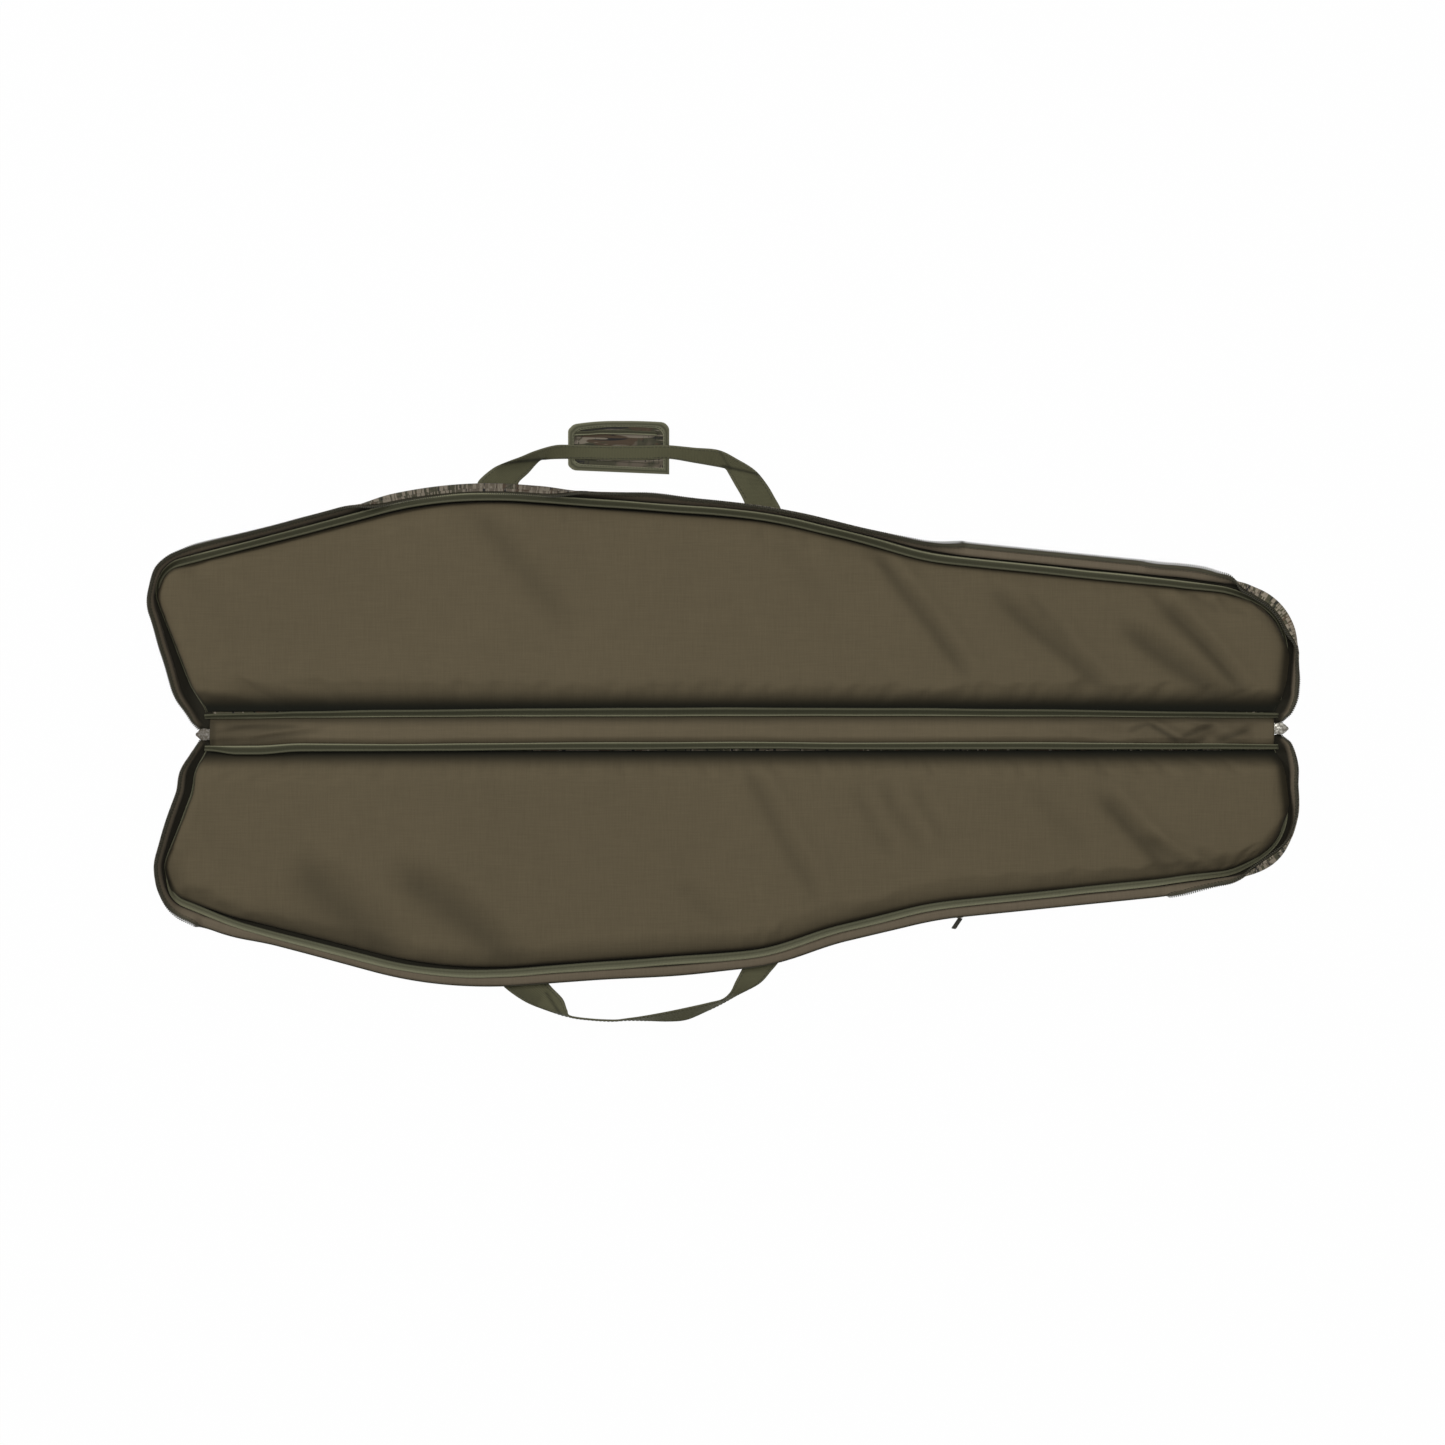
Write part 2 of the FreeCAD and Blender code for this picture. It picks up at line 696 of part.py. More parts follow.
document.recompute()
build_half("upper", UPPER)
build_half("lower", LOWER)
build_spine()
build_zip_end("butt", -1)
build_zip_end("muzzle", 1)
build_handle("upper", UPPER)
build_handle("lower", LOWER)
build_wrap()
build_pocket()
document.recompute()

for thing in document.Objects:
    if "Invalid" in thing.State or "Error" in thing.State:
        raise RuntimeError(f"{thing.Name} failed: {thing.State}")
os.makedirs("parts", exist_ok=True)
for name, thing in nodes.items():
    shape = thing.Shape
    if shape.isNull() or not shape.isValid() or not shape.Solids:
        raise RuntimeError(f"{name} has no valid solid")
    shape.exportStep(f"parts/{name}.step")
    box = shape.BoundBox
    print(f"{name:22s} {len(shape.Solids)} {shape.Volume / 1000:9.2f} cm3  "
          f"x {box.XMin:.1f}..{box.XMax:.1f} y {box.YMin:.1f}..{box.YMax:.1f} "
          f"z {box.ZMin:.2f}..{box.ZMax:.2f}")
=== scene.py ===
"""Cloth, padding, zips and webbing of an opened soft padded long case, built round its CAD frame."""

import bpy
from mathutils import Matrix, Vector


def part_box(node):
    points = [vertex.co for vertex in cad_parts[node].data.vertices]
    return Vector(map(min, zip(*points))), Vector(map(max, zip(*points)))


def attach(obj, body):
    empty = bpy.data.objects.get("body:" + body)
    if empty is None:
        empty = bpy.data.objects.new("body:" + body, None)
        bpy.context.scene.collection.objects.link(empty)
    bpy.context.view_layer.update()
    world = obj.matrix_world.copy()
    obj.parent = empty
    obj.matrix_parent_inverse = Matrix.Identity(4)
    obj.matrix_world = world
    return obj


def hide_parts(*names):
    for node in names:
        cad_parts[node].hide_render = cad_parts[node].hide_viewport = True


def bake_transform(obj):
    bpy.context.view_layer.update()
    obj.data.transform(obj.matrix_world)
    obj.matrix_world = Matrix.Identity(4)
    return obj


bl_info = {
    "name": "Soft padded long case",
    "version": (1, 0, 0),
    "blender": (4, 5, 0),
    "location": "3D View > Sidebar > Long case",
    "description": "Builds the pads, gussets, binding, zips, handles and pocket of the case",
    "category": "Object",
}

import math

import bpy
import numpy as np
from bpy.props import FloatProperty, FloatVectorProperty, PointerProperty
from mathutils import Matrix, Vector, noise

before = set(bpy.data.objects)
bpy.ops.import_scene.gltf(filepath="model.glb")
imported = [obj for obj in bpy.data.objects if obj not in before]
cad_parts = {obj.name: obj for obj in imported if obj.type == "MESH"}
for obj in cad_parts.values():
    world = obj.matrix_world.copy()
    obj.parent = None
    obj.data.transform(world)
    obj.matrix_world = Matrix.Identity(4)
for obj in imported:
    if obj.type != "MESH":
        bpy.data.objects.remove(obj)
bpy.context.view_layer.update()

UPPER, LOWER = "upper", "lower"
SIDES = {UPPER: 1.0, LOWER: -1.0}
MM = 0.001
WEBBING_WIDTH = 38 * MM

# The seam between a pad and its gusset, from the butt corner by the spine round to the muzzle
# corner by the spine: x, y and the rounding of the corner, in millimetres, on the upper half.
SEAM_CORNERS = (
    (-548, 19, 0), (-608, 171, 32), (-290, 253, 480), (54, 228, 480), (223, 188, 410),
    (600, 150, 72), (585, 19, 0),
)
# The gusset's own foot line, which turns in to the two main sliders at its ends.
GUSSET_CORNERS = (
    (-545, 5, 0), (-556, 25, 14), (-608, 171, 32), (-290, 253, 480), (54, 228, 480),
    (223, 188, 410), (600, 150, 72), (589, 26, 12), (585, 7, 0),
)

# How the gusset stands along its length: share of the length, foot and outermost line past the
# seam in millimetres, how far it flops outward, how far it curls inward, and its share of height.
GUSSET_STANCE = {
    UPPER: (
        (0.000, 0.0, 7.5, 0.0, 0.0, 0.30), (0.012, 3.5, 11.5, 0.0, 0.0, 0.55),
        (0.030, 6.5, 14.5, 0.1, 0.0, 0.80), (0.060, 4.5, 11.5, 0.2, 0.0, 1.00),
        (0.090, 2.5, 9.0, 0.1, 0.0, 1.00), (0.106, 1.0, 5.0, 0.0, 0.0, 1.00),
        (0.122, 3.0, 8.5, 0.2, 0.0, 1.00), (0.150, 4.5, 13.0, 0.5, 0.0, 1.00),
        (0.200, 4.5, 11.5, 0.3, 0.0, 1.00), (0.252, 5.0, 13.5, 0.1, 0.1, 1.00),
        (0.290, 8.0, 16.0, 0.0, 0.9, 1.00), (0.345, 8.2, 16.0, 0.0, 1.0, 1.00),
        (0.390, 8.0, 15.0, 0.0, 0.9, 1.00), (0.425, 6.0, 14.0, 0.0, 0.25, 1.00),
        (0.470, 5.0, 14.0, 0.1, 0.0, 1.00), (0.510, 4.5, 11.0, 0.1, 0.0, 1.00),
        (0.570, 4.0, 8.5, 0.1, 0.0, 1.00), (0.620, 3.5, 8.5, 0.3, 0.0, 1.00),
        (0.660, 3.0, 10.5, 0.8, 0.0, 1.00), (0.700, 2.5, 16.0, 1.0, 0.0, 1.00),
        (0.790, 2.5, 16.5, 1.0, 0.0, 1.00), (0.830, 2.5, 14.5, 1.0, 0.0, 1.00),
        (0.858, 2.8, 16.0, 0.9, 0.0, 1.00), (0.876, 3.2, 14.8, 0.8, 0.1, 1.00),
        (0.893, 4.6, 12.5, 0.0, 0.8, 1.00), (0.905, 5.0, 11.0, 0.0, 1.0, 1.00),
        (0.928, 3.5, 10.5, 0.0, 1.0, 1.00), (0.950, 3.0, 9.5, 0.0, 0.2, 1.00),
        (0.970, 3.5, 11.0, 0.1, 0.0, 0.90), (0.988, 4.5, 12.0, 0.0, 0.0, 0.60),
        (1.000, 0.0, 7.5, 0.0, 0.0, 0.30),
    ),
    LOWER: (
        (0.000, 0.0, 6.5, 0.0, 0.0, 0.30), (0.015, 2.0, 6.0, 0.0, 0.0, 0.55),
        (0.035, 3.5, 9.0, 0.1, 0.0, 0.85), (0.060, 3.5, 9.0, 0.1, 0.0, 1.00),
        (0.095, 1.5, 6.5, 0.0, 0.0, 1.00), (0.112, 3.0, 8.5, 0.2, 0.0, 1.00),
        (0.132, 5.5, 18.0, 0.7, 0.0, 1.00), (0.155, 5.5, 19.8, 0.9, 0.0, 1.00),
        (0.200, 3.5, 16.0, 1.0, 0.0, 1.00), (0.300, 4.8, 19.6, 1.0, 0.0, 1.00),
        (0.360, 4.5, 18.0, 1.0, 0.0, 1.00), (0.420, 4.5, 19.2, 1.0, 0.0, 1.00),
        (0.480, 6.2, 22.0, 1.0, 0.0, 1.00), (0.545, 3.5, 16.0, 1.0, 0.0, 1.00),
        (0.590, 3.0, 15.5, 1.0, 0.0, 1.00), (0.640, 3.0, 15.5, 1.0, 0.0, 1.00),
        (0.690, 2.5, 15.6, 1.0, 0.0, 1.00), (0.730, 2.5, 16.0, 1.0, 0.0, 1.00),
        (0.790, 2.5, 15.0, 1.0, 0.0, 1.00), (0.840, 2.5, 13.2, 1.0, 0.0, 1.00),
        (0.872, 3.0, 9.5, 0.7, 0.0, 1.00), (0.905, 4.5, 11.0, 0.0, 0.8, 1.00),
        (0.930, 2.5, 8.5, 0.0, 0.3, 1.00), (0.960, 1.5, 8.0, 0.1, 0.0, 1.00),
        (0.975, 3.0, 10.5, 0.1, 0.0, 0.90), (0.990, 5.5, 13.0, 0.0, 0.0, 0.60),
        (1.000, 0.0, 8.0, 0.0, 0.0, 0.30),
    ),
}
# How far each gusset's ends turn from the spine's middle towards the sliders, in millimetres.
GUSSET_ENDS = {UPPER: (-4.0, 1.5), LOWER: (3.5, -3.0)}
GUSSET_HEIGHT = {UPPER: 15.5 * MM, LOWER: 17.0 * MM}
TAPE_FROM = {UPPER: 15.0 * MM, LOWER: 16.5 * MM}
TAPE_TO = {UPPER: 18.8 * MM, LOWER: 19.2 * MM}
COIL_AT = 19.7 * MM
GUSSET_TOTAL = 21.0 * MM
GUSSET_TUCK = 16 * MM
GUSSET_COLUMNS = 470
ZIP_TURN = 2.3 * MM
ZIP_WIRE = 0.8 * MM

# The bound seam round a pad: share of the seam, then how far out and how high its foot lies and
# how far out and how high its free edge lies, in millimetres.
BOUND_SEAM = {
    UPPER: (
        (0.000, -1.0, 1.9, -3.5, 2.3), (0.035, -0.5, 2.4, -4.5, 4.0), (0.085, -0.5, 2.6, -4.5, 4.8),
        (0.104, 2.2, 6.0, -2.5, 12.0), (0.125, 2.5, 9.5, -5.5, 15.0),
        (0.200, 2.0, 10.0, -5.5, 15.8), (0.330, 3.0, 11.0, -5.0, 15.8),
        (0.500, 3.4, 11.5, -4.5, 15.6), (0.600, 1.5, 11.5, -7.0, 16.5),
        (0.680, -1.5, 12.6, -10.3, 17.4), (0.850, -2.3, 13.2, -10.3, 17.6),
        (0.885, -1.0, 9.5, -7.0, 15.5), (0.912, -0.5, 2.8, -4.5, 4.8),
        (0.965, -0.5, 2.4, -4.5, 4.0), (1.000, -1.0, 1.9, -3.5, 2.3),
    ),
    LOWER: (
        (0.000, -1.0, 1.9, -3.5, 2.3), (0.035, -0.5, 2.4, -4.5, 4.0), (0.090, -0.5, 2.6, -4.5, 4.8),
        (0.125, 4.0, 9.0, -3.0, 14.0), (0.200, 6.0, 11.0, -1.5, 14.5),
        (0.260, 6.0, 11.0, -2.0, 14.5), (0.400, 3.2, 11.5, -5.5, 16.0),
        (0.500, 3.2, 11.5, -5.5, 16.0), (0.600, 1.5, 11.5, -6.5, 16.3),
        (0.690, 0.5, 12.0, -7.0, 16.6), (0.850, -0.5, 12.4, -7.5, 16.8),
        (0.885, 0.5, 9.0, -5.0, 14.5), (0.920, -0.5, 2.8, -4.5, 4.8), (0.965, -0.5, 2.4, -4.5, 4.0),
        (1.000, -1.0, 1.9, -3.5, 2.3),
    ),
}

# Soft creases across each pad: two end points, half width, height and how much painted shade they get.
PAD_CREASES = {
    UPPER: (
        (-268, 246, -150, 108, 15, -2.6, 0.16), (158, 194, 270, 52, 8, -3.4, 0.28),
        (290, 150, 420, 32, 9, -3.8, 0.28), (322, 144, 372, 92, 7, -1.6, 0.14),
        (426, 112, 544, 26, 10, -4.4, 0.36), (462, 142, 560, 36, 8, -4.2, 0.36),
        (496, 146, 528, 128, 5, -1.6, 0.12), (-560, 176, -500, 92, 15, -1.0, 0.04),
        (60, 210, 130, 120, 16, -1.0, 0.05),
    ),
    LOWER: (
        (-448, -140, -336, -236, 19, -4.2, 0.28), (-500, -196, -330, -242, 24, -0.6, 0.12),
        (-338, -142, -200, -252, 18, -5.0, 0.32), (22, -28, 108, -186, 9, -3.2, 0.15),
        (-46, -160, 16, -206, 10, -1.4, 0.08), (142, -62, 184, -134, 8, -1.8, 0.10),
        (170, -54, 220, -134, 8, -1.8, 0.10), (206, -58, 240, -118, 7, -1.4, 0.08),
        (402, -66, 484, -158, 9, -4.8, 0.34), (448, -108, 506, -152, 6, -3.2, 0.26),
        (500, -124, 540, -146, 5, -1.6, 0.16), (330, -60, 392, -128, 12, -1.2, 0.08),
        (-560, -60, -500, -150, 15, -1.0, 0.05),
    ),
}


# ------------------------------------------------------------------ small tools


def deselect():
    """Leaves nothing selected, so that an operator works on the new piece alone."""
    if bpy.context.object and bpy.context.object.mode != "OBJECT":
        bpy.ops.object.mode_set(mode="OBJECT")
    bpy.ops.object.select_all(action="DESELECT")


def pick(piece):
    """Makes piece the one selected and active object."""
    deselect()
    piece.select_set(True)
    bpy.context.view_layer.objects.active = piece


def smoothstep(low, high, value):
    """0 at low, 1 at high and eased between; low may be the larger of the two."""
    t = min(1.0, max(0.0, (value - low) / (high - low)))
    return t * t * (3.0 - 2.0 * t)


def ripple(x, y, z, seed=0.0):
    """A smooth random value from -1 to 1, the same on every run."""
    return noise.noise(Vector((x + seed * 7.13, y - seed * 3.7, z + seed * 1.9)))


def keyed(keys, share, column):
    """The value of one column of given keys at a share of the length, eased between keys."""
    for first, second in zip(keys, keys[1:]):
        if share <= second[0]:
            t = smoothstep(first[0], second[0], share)
            return first[column] + (second[column] - first[column]) * t
    return keys[-1][column]


def apply_modifiers(piece):
    pick(piece)
    for modifier in list(piece.modifiers):
        bpy.ops.object.modifier_apply(modifier=modifier.name)


def add_modifier(piece, kind, **values):
    modifier = piece.modifiers.new(kind.lower(), kind)
    for name, value in values.items():
        setattr(modifier, name, value)
    return modifier


def outward(piece):
    """Turns the faces of a closed piece outwards."""
    pick(piece)
    bpy.ops.object.mode_set(mode="EDIT")
    bpy.ops.mesh.select_all(action="SELECT")
    bpy.ops.mesh.normals_make_consistent(inside=False)
    bpy.ops.object.mode_set(mode="OBJECT")


def settle(piece):
    """Puts the piece's place into its mesh and leaves its object at the origin."""
    pick(piece)
    bpy.ops.object.transform_apply(location=True, rotation=True, scale=True)


def shade_dips(piece, depth):
    """Stores depth(co), from 0 to 1, at each vertex: painted shade, by which the finish darkens the colour
    where shade falls in dips, creases and folds.
    """
    values = [depth(vertex.co) for vertex in piece.data.vertices]
    attribute = piece.data.attributes.new("painted_shade", "FLOAT", "POINT")
    attribute.data.foreach_set("value", values)


def dress(piece, material, body=None, nodes=()):
    """Gives a finished piece its finish and its body, and hides the CAD nodes that it stands for."""
    piece.data.materials.clear()
    piece.data.materials.append(bpy.data.materials[material])
    for face in piece.data.polygons:
        face.use_smooth = True
        face.material_index = 0
    if nodes:
        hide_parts(*nodes)
    if body:
        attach(piece, body)
    deselect()


def grid_piece(name, columns, rows, place):
    """A grid laid by place(u, v), which gives a point and its two coordinates on the cloth."""
    deselect()
    bpy.ops.mesh.primitive_grid_add(
        x_subdivisions=columns, y_subdivisions=rows, size=1.0, location=(0, 0, 0)
    )
    piece = bpy.context.object
    piece.name = piece.data.name = name
    cloth = []
    for vertex in piece.data.vertices:
        u = min(1.0, max(0.0, vertex.co.x + 0.5))
        v = min(1.0, max(0.0, vertex.co.y + 0.5))
        point, along, across = place(u, v)
        vertex.co = point
        cloth.append((along, across))
    layer = piece.data.uv_layers[0]
    for loop in piece.data.loops:
        layer.data[loop.index].uv = cloth[loop.vertex_index]
    piece.data.update()
    return piece


def cloth_piece(name, columns, rows, place, thickness, offset=0.0):
    """A closed sheet of cloth of a real thickness, laid by place(u, v)."""
    piece = grid_piece(name, columns, rows, place)
    add_modifier(piece, "SOLIDIFY", thickness=thickness, offset=offset)
    apply_modifiers(piece)
    outward(piece)
    return piece


def mesh_piece(name, points, faces, cloth=None):
    """A piece of the given points and faces, with cloth coordinates for each face corner."""
    mesh = bpy.data.meshes.new(name)
    mesh.from_pydata([tuple(p) for p in points], [], faces)
    layer = mesh.uv_layers.new(name="UVMap")
    if cloth:
        layer.data.foreach_set("uv", [c for pair in cloth for c in pair])
    piece = bpy.data.objects.new(name, mesh)
    bpy.context.scene.collection.objects.link(piece)
    return piece


def loft(name, rings, along, around, rim=None):
    """A closed tube of cloth, tape or wire through rings of points, with capped ends."""
    count, size = len(rings), len(rings[0])
    points = [point for ring in rings for point in ring]
    faces, cloth = [], []
    for i in range(count - 1):
        for j in range(size):
            k = (j + 1) % size
            faces.append((i * size + j, i * size + k, (i + 1) * size + k, (i + 1) * size + j))
            cloth += [
                (along[i], around[j]),
                (along[i], around[j + 1]),
                (along[i + 1], around[j + 1]),
                (along[i + 1], around[j]),
            ]
    faces.append(tuple(range(size))[::-1])
    cloth += [(along[0], around[j]) for j in range(size)][::-1]
    faces.append(tuple((count - 1) * size + j for j in range(size)))
    cloth += [(along[-1], around[j]) for j in range(size)]
    piece = mesh_piece(name, points, faces, cloth)
    if rim is not None:
        attribute = piece.data.attributes.new("rim", "FLOAT", "POINT")
        attribute.data.foreach_set("value", list(rim) * count)
    outward(piece)
    return piece


def rounded_run(corners, step=0.002):
    """Evenly spaced points along straight runs joined by each corner's rounding."""
    corners = [(x * MM, y * MM, r * MM) for x, y, r in corners]
    run = [Vector(corners[0][:2])]
    for before, corner, after in zip(corners, corners[1:], corners[2:]):
        here = Vector(corner[:2])
        back = (Vector(before[:2]) - here).normalized()
        ahead = (Vector(after[:2]) - here).normalized()
        opening = back.angle(ahead)
        reach = corner[2] / math.tan(opening / 2)
        middle = here + (back + ahead).normalized() * (corner[2] / math.sin(opening / 2))
        first = here + back * reach - middle
        last = here + ahead * reach - middle
        turn = math.atan2(first.x * last.y - first.y * last.x, first.dot(last))
        pieces = max(4, int(abs(turn) * corner[2] / step))
        for k in range(pieces + 1):
            spoke = first.copy()
            spoke.rotate(Matrix.Rotation(turn * k / pieces, 2))
            run.append(middle + spoke)
    run.append(Vector(corners[-1][:2]))
    points = np.array([tuple(p) for p in run])
    lengths = np.concatenate([[0], np.cumsum(np.linalg.norm(np.diff(points, axis=0), axis=1))])
    wanted = np.linspace(0, lengths[-1], int(lengths[-1] / step) + 1)
    return np.column_stack([np.interp(wanted, lengths, points[:, k]) for k in (0, 1)])


def drift(side, x, y):
    """How far a half's own outline strays from the pattern, growing away from the spine."""
    away = smoothstep(0.05, 0.17, y)
    longer = 0.007 * smoothstep(0.55, 0.585, x) * smoothstep(0.012, 0.04, y)
    butt = smoothstep(0.02, 0.05, y) * (1 - smoothstep(0.13, 0.165, y))
    longer -= 0.0045 * smoothstep(-0.52, -0.555, x) * butt
    if side == UPPER:
        return longer, -0.005 * smoothstep(0.47, 0.56, x) * away
    loose = smoothstep(-0.60, -0.50, x) * (1 - smoothstep(0.03, 0.13, x))
    tucked = smoothstep(0.03, 0.07, y) * (1 - smoothstep(0.15, 0.20, y)) * smoothstep(-0.40, -0.55, x)
    return 0.008 * tucked + longer, (0.008 * loose - 0.005 * smoothstep(0.45, 0.56, x)) * away


class Outline:
    """A line round one half, with its outward direction, read by a share of its length."""

    def __init__(self, corners, side, ends=(0.0, 0.0)):
        run = rounded_run(corners)
        run += [drift(side, x, y) for x, y in run]
        for x_sign, turn in zip((-1, 1), ends):
            near = np.vectorize(smoothstep)(0.055, 0.005, run[:, 1]) * (run[:, 0] * x_sign > 0)
            run[:, 1] += near * turn * MM
        steps = np.linalg.norm(np.diff(run, axis=0), axis=1)
        self.lengths = np.concatenate([[0], np.cumsum(steps)])
        self.length = float(self.lengths[-1])
        slope = np.gradient(run, axis=0)
        slope /= np.linalg.norm(slope, axis=1)[:, None]
        across = np.column_stack([-slope[:, 1], slope[:, 0]])
        mirror = np.array([1.0, SIDES[side]])
        self.points, self.across = run * mirror, across * mirror

    def at(self, share, offset=0.0):
        """The point at a share of the length, offset metres outwards, as x and y."""
        s = share * self.length
        x, y = (float(np.interp(s, self.lengths, self.points[:, k])) for k in (0, 1))
        a, b = (float(np.interp(s, self.lengths, self.across[:, k])) for k in (0, 1))
        return x + a * offset, y + b * offset

    def near(self, x, y):
        """The distance from x, y to the line, and the share of its length there."""
        far = ((self.points - (x, y)) ** 2).sum(1)
        index = int(far.argmin())
        return math.sqrt(far[index]), index / (len(far) - 1)


SEAMS = {side: Outline(SEAM_CORNERS, side) for side in SIDES}


class Gusset:
    """How one half's gusset, zip tape and coil stand: a section that changes along the foot."""

    SAMPLES = 28
    COUNT = 480

    def __init__(self, side):
        self.line = Outline(GUSSET_CORNERS, side, GUSSET_ENDS[side])
        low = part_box(side + "_wall")[0].z
        t = (np.arange(self.SAMPLES) + 0.5) / self.SAMPLES
        ease = np.vectorize(smoothstep)
        tucked = 0.34 * ease(0.76, 0.98, t) if side == UPPER else 0.85 * ease(0.66, 0.86, t)
        flopped = ease(0.22, 0.46, t) * (1 + tucked)
        curled = math.radians(50) + math.radians(-134) * ease(0.16, 0.62, t)
        rows = []
        for i in range(self.COUNT + 1):
            u = i / self.COUNT
            foot, edge, flop, curl, rise = (keyed(GUSSET_STANCE[side], u, c) for c in range(1, 6))
            edge += 0.5 * ripple(u * 38, 0, 0, 2.0 if side == UPPER else 5.0)
            step = GUSSET_TOTAL * rise / self.SAMPLES
            least, most = -1.2, 1.75
            for _ in range(24):
                swing = (least + most) / 2
                angle = swing * (1 + (flopped - 1) * flop) - 0.22 * flop * (1 - flopped)
                if step * np.maximum.accumulate(np.cumsum(np.sin(angle)))[-1] < (edge - foot) * MM:
                    least = swing
                else:
                    most = swing
            angle = angle + (curled - angle) * curl
            a = np.concatenate([[0], np.cumsum(np.sin(angle))]) * step + foot * MM
            z = np.concatenate([[0], np.cumsum(np.cos(angle))]) * step + low
            rows.append(np.column_stack([a, z, np.concatenate([angle, angle[-1:]])]))
        self.table = np.array(rows)

    def at(self, share, height, out=0.0):
        """The point at a share of the length and a height up the cloth, out metres outwards."""
        i = min(self.COUNT - 1e-6, max(0.0, share * self.COUNT))
        j = min(self.SAMPLES - 1e-6, max(0.0, height / GUSSET_TOTAL * self.SAMPLES))
        i0, j0 = int(i), int(j)
        fi, fj = i - i0, j - j0
        near = self.table[i0][j0] * (1 - fj) + self.table[i0][j0 + 1] * fj
        far = self.table[i0 + 1][j0] * (1 - fj) + self.table[i0 + 1][j0 + 1] * fj
        a, z, angle = near * (1 - fi) + far * fi
        x, y = self.line.at(share, a + math.cos(angle) * out)
        return Vector((x, y, z - math.sin(angle) * out))

    def floor(self, share, inward):
        """The point on the case's floor, inward metres in from the foot."""
        a = self.table[min(self.COUNT, int(round(share * self.COUNT)))][0][0]
        x, y = self.line.at(share, a - inward)
        return Vector((x, y, self.table[0][0][1]))


GUSSETS = {side: Gusset(side) for side in SIDES}


# The free edge of each of the spine's bound seams, and its foot: x and y in millimetres.
SPINE_EDGE = {
    UPPER: ((-560, 16.5), (-534, 18), (-493, 19), (-446, 20.6), (-350, 22), (-200, 23.5), (0, 24.6),
            (60, 24.4), (200, 24), (350, 22.5), (500, 20), (590, 18.5)),
    LOWER: ((-560, 20), (-544, 21), (-514, 24.6), (-493, 24.6), (-446, 21.4), (-340, 21), (-155, 19.4),
            (0, 18.6), (60, 18.6), (125, 19.4), (350, 19.0), (500, 19.2), (590, 19)),
}
SPINE_FOOT = {
    UPPER: ((-560, 14), (-493, 13.6), (-446, 14.4), (-200, 15.6), (0, 16), (200, 16.4), (350, 15.6),
            (500, 14.8), (590, 15)),
    LOWER: ((-560, 16), (-493, 15.6), (-446, 13.4), (-340, 14), (-155, 12.6), (0, 12), (125, 12.8),
            (350, 12.4), (500, 13.5), (590, 15)),
}


def spine_line(table, x, side, seed):
    """The distance from the spine's middle, at x, of a line given by eased keys."""
    value = keyed(table[side], x / MM, 1) + 0.5 * ripple(x * 13, 0, 0, seed)
    return SIDES[side] * value * MM


def smooth_run(keys, count):
    """count + 1 points on a smooth line through the keys."""
    keys = np.array(keys, float)
    spans = np.linalg.norm(np.diff(keys, axis=0), axis=1)
    stops = np.concatenate([[0], np.cumsum(spans)])
    padded = np.vstack([2 * keys[0] - keys[1], keys, 2 * keys[-1] - keys[-2]])
    run = []
    for wanted in np.linspace(0, stops[-1], count + 1):
        i = min(len(spans) - 1, int(np.searchsorted(stops, wanted, side="right")) - 1)
        t = (wanted - stops[i]) / spans[i]
        a, b, c, d = padded[i : i + 4]
        low_powers = 2 * b + (c - a) * t + (2 * a - 5 * b + 4 * c - d) * t * t
        run.append(0.5 * (low_powers + (3 * b - a - 3 * c + d) * t**3))
    return np.array(run)


def ribbon(name, first_edge, second_edge, count, thickness, across=6):
    """Flat webbing between two edges, each a list of keys in millimetres, with rounded sides."""
    keys = np.hstack([np.array(first_edge, float), np.array(second_edge, float)]) * MM
    run = smooth_run(keys, count)
    rings, along, total = [], [], 0.0
    middles = (run[:, :3] + run[:, 3:]) / 2
    heads = np.gradient(middles, axis=0)
    for i, both in enumerate(run):
        a, b = Vector(both[:3]), Vector(both[3:])
        wide = b - a
        normal = wide.cross(Vector(heads[i])).normalized()
        if i:
            total += (Vector(middles[i]) - Vector(middles[i - 1])).length
        along.append(total)
        half = thickness / 2
        ring = []
        for k in range(across + 1):
            ring.append(a + wide * (k / across) + normal * half)
        ring.append(b + wide.normalized() * half)
        for k in range(across, -1, -1):
            ring.append(a + wide * (k / across) - normal * half)
        ring.append(a - wide.normalized() * half)
        rings.append(ring)
    around = [WEBBING_WIDTH * k / across for k in range(across + 1)] + [WEBBING_WIDTH]
    around += [WEBBING_WIDTH * k / across for k in range(across, -1, -1)] + [0, 0]
    rim = [1.0] + [0.0] * (across - 1) + [1.0, 1.0, 1.0] + [0.0] * (across - 1) + [1.0, 1.0]
    return loft(name, rings, along, around, rim)


